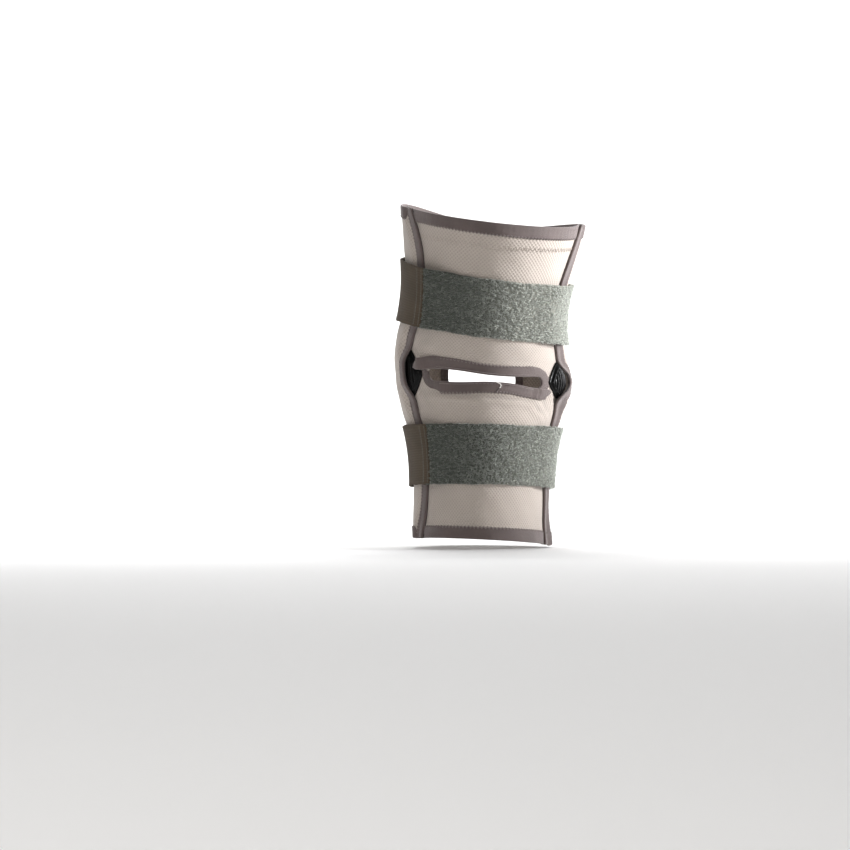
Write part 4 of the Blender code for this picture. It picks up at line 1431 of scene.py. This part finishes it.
def make_loops(name, middle, start, end, lift, pitch, seed):
    """Curled loops of pile over a stretch of a strap's outer face."""
    dice = np.random.default_rng(seed)
    span_u, span_v = (end - start) * SIDE_SCALE, STRAP_WIDTH + LOOP_OVERHANG
    columns, rows = int(span_u / pitch), int(span_v / pitch)
    u, v = np.meshgrid((np.arange(columns) + 0.5) * pitch, (np.arange(rows) + 0.5) * pitch)
    u = u + 0.5 * pitch * (np.arange(rows)[:, None] % 2)
    count = u.size
    u = u.ravel() + dice.uniform(-LOOP_JITTER, LOOP_JITTER, count) * pitch
    v = v.ravel() + dice.uniform(-LOOP_JITTER, LOOP_JITTER, count) * pitch - 0.5 * span_v
    turn = dice.uniform(0.0, 2.0 * math.pi, count)[:, None]
    patch = clumps(u, v)
    length = dice.uniform(*LOOP_LENGTHS, count)
    tall = dice.uniform(*LOOP_RISES, count) + TUFT_RISE * patch
    curl = dice.uniform(-LOOP_CURL, LOOP_CURL, count) * length
    radius = dice.uniform(*LOOP_RADII, count)
    t = np.linspace(0.0, 1.0, LOOP_STOPS)[None]
    lengthwise = (t - 0.5) * length[:, None]
    sideways = curl[:, None] * np.sin(np.pi * t)
    pu = u[:, None] + lengthwise * np.cos(turn) - sideways * np.sin(turn)
    pv = v[:, None] + lengthwise * np.sin(turn) + sideways * np.cos(turn)
    reach = 0.5 * STRAP_WIDTH + LOOP_OVERHANG
    angle = np.clip(start + pu / SIDE_SCALE, start, end)
    height = middle + np.clip(pv, -reach, reach) + strap_edge_wave(angle, middle)
    rise = tall[:, None] * np.sin(np.pi * t) ** 0.8 - LOOP_SINK
    spots, out = raised_spots(angle, height, lift(angle, height) + STRAP_WALL + rise)
    turns = np.arange(LOOP_SIDES) * 2 * math.pi / LOOP_SIDES + 0.5 * math.pi
    ahead = np.gradient(spots, axis=1)
    rings = round_rings(spots, ahead, out, radius[:, None, None, None], turns)
    # each loop's tone is random, with painted light on the tufts' taller loops and painted shade on the low
    # ones
    bright = dice.random(count) ** 1.5
    shade = np.clip(0.22 * bright + 0.78 * patch * (0.35 + 0.65 * bright), 0.0, 1.0)
    # painted light on the loops towards the strap's right side, with their contrast evened out there
    middles = start + u / SIDE_SCALE
    pale = pile_painted_light(middles, middle)
    shade = shade * (0.46 + 0.54 * pale) + 0.26 * pale
    shade = shade + (0.66 - shade) * 0.55 * pale * smooth(middles, 28.0, 62.0)
    # painted shade at each loop's feet, lightest at its crest
    shades = shade[:, None] * (0.15 + 0.85 * np.sin(np.pi * t) ** 1.5)
    shades = np.repeat(shades.ravel(), LOOP_SIDES)
    return add_mesh(name, rings.reshape(-1, 3), loop_faces(count), LOOPS, shades=shades)


# Hinge covers
LOW_HALF_RIGHT = 0.71        # the right cover's lower half is shorter, as its opening is


def make_cover(name, side):
    """A crowned plate with upright ribs on a thinner rim."""
    angle0 = float(side * (HINGE_LEFT if side < 0 else HINGE_RIGHT))
    scale = float(metres_per_degree(angle0, 0.0))
    half_wide, half_tall = 0.5 * HINGE_WIDE, 0.5 * HINGE_TALL
    turns = np.linspace(0.0, 2 * math.pi, 150, endpoint=False)
    norm = np.abs(np.cos(turns)) ** HINGE_ROUND + np.abs(np.sin(turns)) ** HINGE_ROUND
    reach = norm ** (-1 / HINGE_ROUND)
    rim = np.stack((half_wide * reach * np.cos(turns), half_tall * reach * np.sin(turns)), axis=-1)
    points, triangles = flat_mesh(rim, None, 0.00062)
    x, z = points.T
    norm = np.abs(x / half_wide) ** HINGE_ROUND + np.abs(z / half_tall) ** HINGE_ROUND
    share = norm ** (1 / HINGE_ROUND)
    wave = smooth(np.cos(2 * math.pi * x * RIB_COUNT / HINGE_WIDE), -0.85, -0.10)
    ribs = 1.6 * RIB_PROUD * (wave - 0.375) * (1.0 - smooth(share, 0.70, 0.80))
    crown = 0.25 + 0.43 * (1.0 - smooth(share, 0.80, 0.92)) + 0.12 * (1.0 - smooth(share, 0.0, 0.80))
    lip = 0.20 * (1.0 - smooth(share, 0.965, 1.0))
    top = np.maximum(HINGE_THICK * (crown + lip) - RIB_PROUD + ribs, 0.0006)
    angle = angle0 + x / scale
    height = z * np.where((z < 0.0) & (side > 0), LOW_HALF_RIGHT, 1.0)
    floor = PANEL_WALL + SEWING_GAP
    inner, outer = surface(angle, height, floor), surface(angle, height, floor + top)
    return closed_wall(name, points, triangles, inner, outer, PLASTIC, points)


# Stage
FLOOR = -0.1436
FLOOR_HALF = 4.5
FLOOR_NEAR = -3.5
BEND_START = 1.2             # where the floor begins to curve up
BEND_RADIUS = 1.0
WALL_TOP = 3.2


def stage_material(name, colour):
    nodes = Nodes(name)
    cloud = nodes.noise(nodes.place(), 3.0, 2.0)
    lit = nodes.mix(cloud, colour, tinted(colour, 0.985))
    return nodes.finish(lit, 0.9)


def make_stage():
    """A pale floor that curves up into a backdrop."""
    profile = [(FLOOR_NEAR, FLOOR), (BEND_START, FLOOR)]
    for turn in np.linspace(0.0, 0.5 * math.pi, 15)[1:]:
        up = FLOOR + BEND_RADIUS * (1.0 - math.cos(turn))
        profile.append((BEND_START + BEND_RADIUS * math.sin(turn), up))
    profile.append((BEND_START + BEND_RADIUS, WALL_TOP))
    points = [(x, y, z) for x in (-FLOOR_HALF, FLOOR_HALF) for y, z in profile]
    count = len(profile)
    faces = [(k, count + k, count + k + 1, k + 1) for k in range(count - 1)]
    stage = add_mesh("backdrop", points, faces, stage_material("backdrop_paper", (0.93, 0.93, 0.93)))


class Lamp(NamedTuple):
    """A lamp: where it stands, what it faces, its size, its power and, for a spot, its cone."""

    name: str
    place: tuple
    target: tuple
    size: float
    power: float
    tint: tuple
    cone: float


LAMPS = (
    Lamp("key", (1.20, -0.06, 0.24), (0.0, 0.0, 0.115), 0.40, 175.0, (0.975, 0.982, 1.0), 32.0),
    Lamp("fill", (-0.5, -2.3, 0.7), (0.0, 0.0, 0.0), 1.6, 11.6, (1.0, 0.972, 0.935), 0.0),
    Lamp("top", (0.0, 0.6, 2.0), (0.0, 0.5, 0.0), 2.4, 30.0, (1.0, 1.0, 1.0), 0.0),
    Lamp("backdrop_light", (0.0, 0.9, 1.9), (0.0, 2.2, 0.7), 1.6, 45.0, (1.0, 1.0, 1.0), 0.0),
)
SKY_STRENGTH = 0.20


def make_lights():
    """The lamps, and an even white sky."""
    for row in LAMPS:
        lamp = bpy.data.lights.new(row.name, "SPOT" if row.cone else "AREA")
        if row.cone:
            lamp.spot_size = math.radians(row.cone)
            lamp.spot_blend = 1.0
            lamp.shadow_soft_size = 0.5 * row.size
        else:
            lamp.shape = "DISK"
            lamp.size = row.size
        lamp.energy = row.power
        lamp.color = row.tint
        thing = bpy.data.objects.new(row.name, lamp)
        thing.location = row.place
        ahead = Vector(row.target) - Vector(row.place)
        thing.rotation_euler = ahead.to_track_quat("-Z", "Y").to_euler()
        bpy.context.scene.collection.objects.link(thing)
    world = bpy.data.worlds.new("studio")
    bpy.context.scene.world = world
    world.use_nodes = True
    sky = world.node_tree.nodes["Background"]
    sky.inputs["Color"].default_value = (1.0, 1.0, 1.0, 1.0)
    sky.inputs["Strength"].default_value = SKY_STRENGTH


CAMERA_FAR = 2.400
VIEW_WIDE = 0.7225           # what the photograph's width takes in at the leg: 850 pixels of 0.85 mm
SENSOR = 36.0


def make_camera():
    """The photograph's view: level, from behind the knee."""
    data = bpy.data.cameras.new("photo_camera")
    camera = bpy.data.objects.new("photo_camera", data)
    camera.location = (-0.050, -CAMERA_FAR, -0.040)
    camera.rotation_euler = (math.radians(90.0), 0.0, 0.0)
    data.sensor_width = SENSOR
    data.lens = SENSOR * CAMERA_FAR / VIEW_WIDE
    bpy.context.scene.collection.objects.link(camera)
    bpy.context.scene.camera = camera


# The pieces together
def seat(piece, slot, *nodes):
    """The piece rides on the one body, and the nodes it stands for are hidden; slot is not used."""
    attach(piece, "root")
    if nodes:
        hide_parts(*nodes)


def make_seam_shade_cord(name, path):
    """A dark cord under a side binding's fold, where the panels part: painted shade for the gap there."""
    _, left = run_frame(path, False)
    angle, height = (path - 0.00020 * left).T
    spots, out = raised_spots(angle, height, front_place(angle, height) - 0.00030)
    seat(tube(name, spots, out, 0.00034, CORD, sides=6), "binding_tape")


HOLE_RADIUS = 0.00040
HOLE_SIDES = 8


def make_holes(name, path, far, pitch):
    """Needle holes at the corners of a zigzag row, as small dark cones."""
    along, left = run_frame(path, False)
    count = 2 * round(along[-1] / pitch)
    k = np.arange(count + 1)
    angle, height = beside(path, left, along, k / count * along[-1], far * (k % 2))
    turns = np.arange(HOLE_SIDES) * 2 * math.pi / HOLE_SIDES
    points, faces = [], []
    for a, h in zip(angle, height):
        ring_a = a + HOLE_RADIUS * np.cos(turns) / SIDE_SCALE
        ring_h = h + HOLE_RADIUS * np.sin(turns)
        low = surface(ring_a, ring_h, back_place(ring_a, ring_h) + PANEL_WALL + 0.00002)
        crown = surface(a, h, back_place(a, h) + PANEL_WALL + 0.00030)
        base = len(points)
        points += list(low) + [crown]
        faces += [
            (base + j, base + (j + 1) % HOLE_SIDES, base + HOLE_SIDES) for j in range(HOLE_SIDES)
        ]
    seat(add_mesh(name, points, faces, HOLES), "knit")


BITE_TAPE = 0.0012           # how far a binding's stitches reach in from its edge
BITE_KNIT = 0.0009           # and how far they reach out onto the knit
ROW_WIDE = 0.0038            # the zigzag row's width
ROW_DOWN = 0.0160            # how far under the top edge the row runs, on the knee's right
ROW_SLANT = 0.0030           # and how much further on its left


def make_sewing(runs):
    """The stitches that hold the bindings, and the zigzag row under the top edge."""
    for run in runs:
        wide = run.width_at(run.path)
        middle = float(np.median(wide))
        on_tape = 0.5 * (PANEL_WALL + float(wall_at(middle - BITE_TAPE))) + FOLD
        on_knit = 0.5 * (PANEL_WALL + float(wall_at(middle + BITE_KNIT)))
        bites = wide - BITE_TAPE, wide + BITE_KNIT
        layers = on_tape + STITCH_STAND, on_knit + STITCH_STAND
        piece = zigzag(
            f"stitches_{run.name}", run.path, run.closed, run.place, bites, layers,
            STITCH_PITCH, 0.00032, TAPE_THREAD,
        )
        seat(piece, "binding_tape")
        if "side" in run.name:
            # a dark cord in each side seam's gap: painted shade
            make_seam_shade_cord(run.name.replace("tape_side", "seam_cord"), run.path)
    _, tape_left, tape_right, _ = back_stops(top_edge)
    path = level_run(top_edge, tape_right - 1.0, tape_left + 4.0, TAPE_FACET)
    path[:, 1] -= ROW_DOWN + ROW_SLANT * smooth(-path[:, 0], -60.0, 60.0)
    piece = zigzag(
        "zigzag_row", path, False, back_place, (0.0, ROW_WIDE), (PANEL_WALL, PANEL_WALL),
        ZIGZAG_PITCH, 0.00028, KNIT_THREAD,
    )
    seat(piece, "knit")
    make_holes("zigzag_holes", path, ROW_WIDE, ZIGZAG_PITCH)


JOINT_LEFT = 3.4             # degrees that a joint's lap reaches to the left of the strap's seam
JOINT_RIGHT = 4.6            # and to its right
JOINT_THICK = 0.00050
JOINT_ROWS = -1.6, 2.6       # where its two rows of stitches are, in degrees from the seam
JOINT_HALF = 0.024           # half the length of a row


def make_joint(word, middle):
    """The sewn joint of a strap's two sections: a flat lap of elastic with two rows of stitches."""
    angles = np.linspace(-STRAP_SEAM - JOINT_LEFT, -STRAP_SEAM + JOINT_RIGHT, 9)
    shares = np.linspace(0.5, -0.5, 25) * (STRAP_WIDTH - 0.0006)
    angle, height = np.meshgrid(angles, middle + shares, indexing="ij")
    edge = np.minimum(smooth(angle, angles[0], angles[1]), 1.0 - smooth(angle, angles[-2], angles[-1]))
    lift = strap_lift(angle, height) + STRAP_WALL
    outer = surface(angle, height, lift + 0.00005 + JOINT_THICK * edge)
    inner = surface(angle[:, ::-1], height[:, ::-1], lift[:, ::-1] - 0.00020)
    rings = np.concatenate((outer, inner), axis=1)
    uvs = np.stack((angle * SIDE_SCALE, height), axis=-1)
    uvs = np.concatenate((uvs, uvs[:, ::-1]), axis=1)
    lap = swept(f"strap_joint_{word}", rings, False, ELASTIC, uvs)
    seat(lap, "woven_elastic", f"{word}_strap_elastic")
    for k, shift in enumerate(JOINT_ROWS):
        at = flat_angle(-STRAP_SEAM + shift)
        path = upright_run(at, middle - JOINT_HALF, middle + JOINT_HALF, 0.002)
        row = running(
            f"joint_stitches_{word}_{k + 1}", path, strap_lift, 0.0,
            STRAP_WALL + JOINT_THICK + 0.00005, 0.0026, STRAP_THREAD,
        )
        seat(row, "woven_elastic")


def make_strap_pieces():
    """Each strap's pile band, elastic band, joint and loops."""
    elastic_end = FULL_TURN - STRAP_SEAM - SEWING_GAP / SIDE_SCALE
    for word, middle, seed in (("upper", UPPER_STRAP_HEIGHT, 11), ("lower", LOWER_STRAP_HEIGHT, 29)):
        band = make_band(f"pile_band_{word}", middle, -STRAP_SEAM, CLOSURE_END, pile_lift, PILE_GROUND, 0.0)
        seat(band, "loop_pile", f"{word}_strap")
        elastic = make_band(
            f"elastic_band_{word}", middle, CLOSURE_START, elastic_end, strap_lift, ELASTIC, 0.00015,
        )
        seat(elastic, "woven_elastic", f"{word}_strap_elastic")
        make_joint(word, middle)
        for part, start, end, pitch in (
            ("back", -STRAP_SEAM + 4.4, HALFWAY, 0.00126),
            ("front", HALFWAY, CLOSURE_END - 0.6, 0.00155),
        ):
            loops = make_loops(f"pile_loops_{word}_{part}", middle, start, end, pile_lift, pitch, seed)
            seat(loops, "loop_pile")


def dress():
    """All the pieces of the visual model."""
    front, back = make_panels()
    seat(front, "knit", "front_panel")
    seat(back, "knit", "back_panel")
    runs = tape_runs()
    for run in runs:
        step = under_side if run.name.endswith("front") else None
        piece = make_tape(run.name, run.path, run.closed, run.place, run.width_at, step=step)
        seat(piece, "binding_tape", run.node)
    make_inner_tapes()
    make_lips()
    make_sewing(runs)
    make_strap_pieces()
    for side, word in ((-1, "left"), (1, "right")):
        cover = make_cover(f"ribbed_cover_{word}", side)
        seat(cover, "hinge_plastic", f"hinge_cover_{word}")
        for way in ("upper", "lower"):
            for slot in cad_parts[f"hinge_arm_{way}_{word}"].material_slots:
                slot.material = STEEL


make_camera()
make_stage()
make_lights()
dress()
bpy.context.scene.view_settings.view_transform = "Standard"
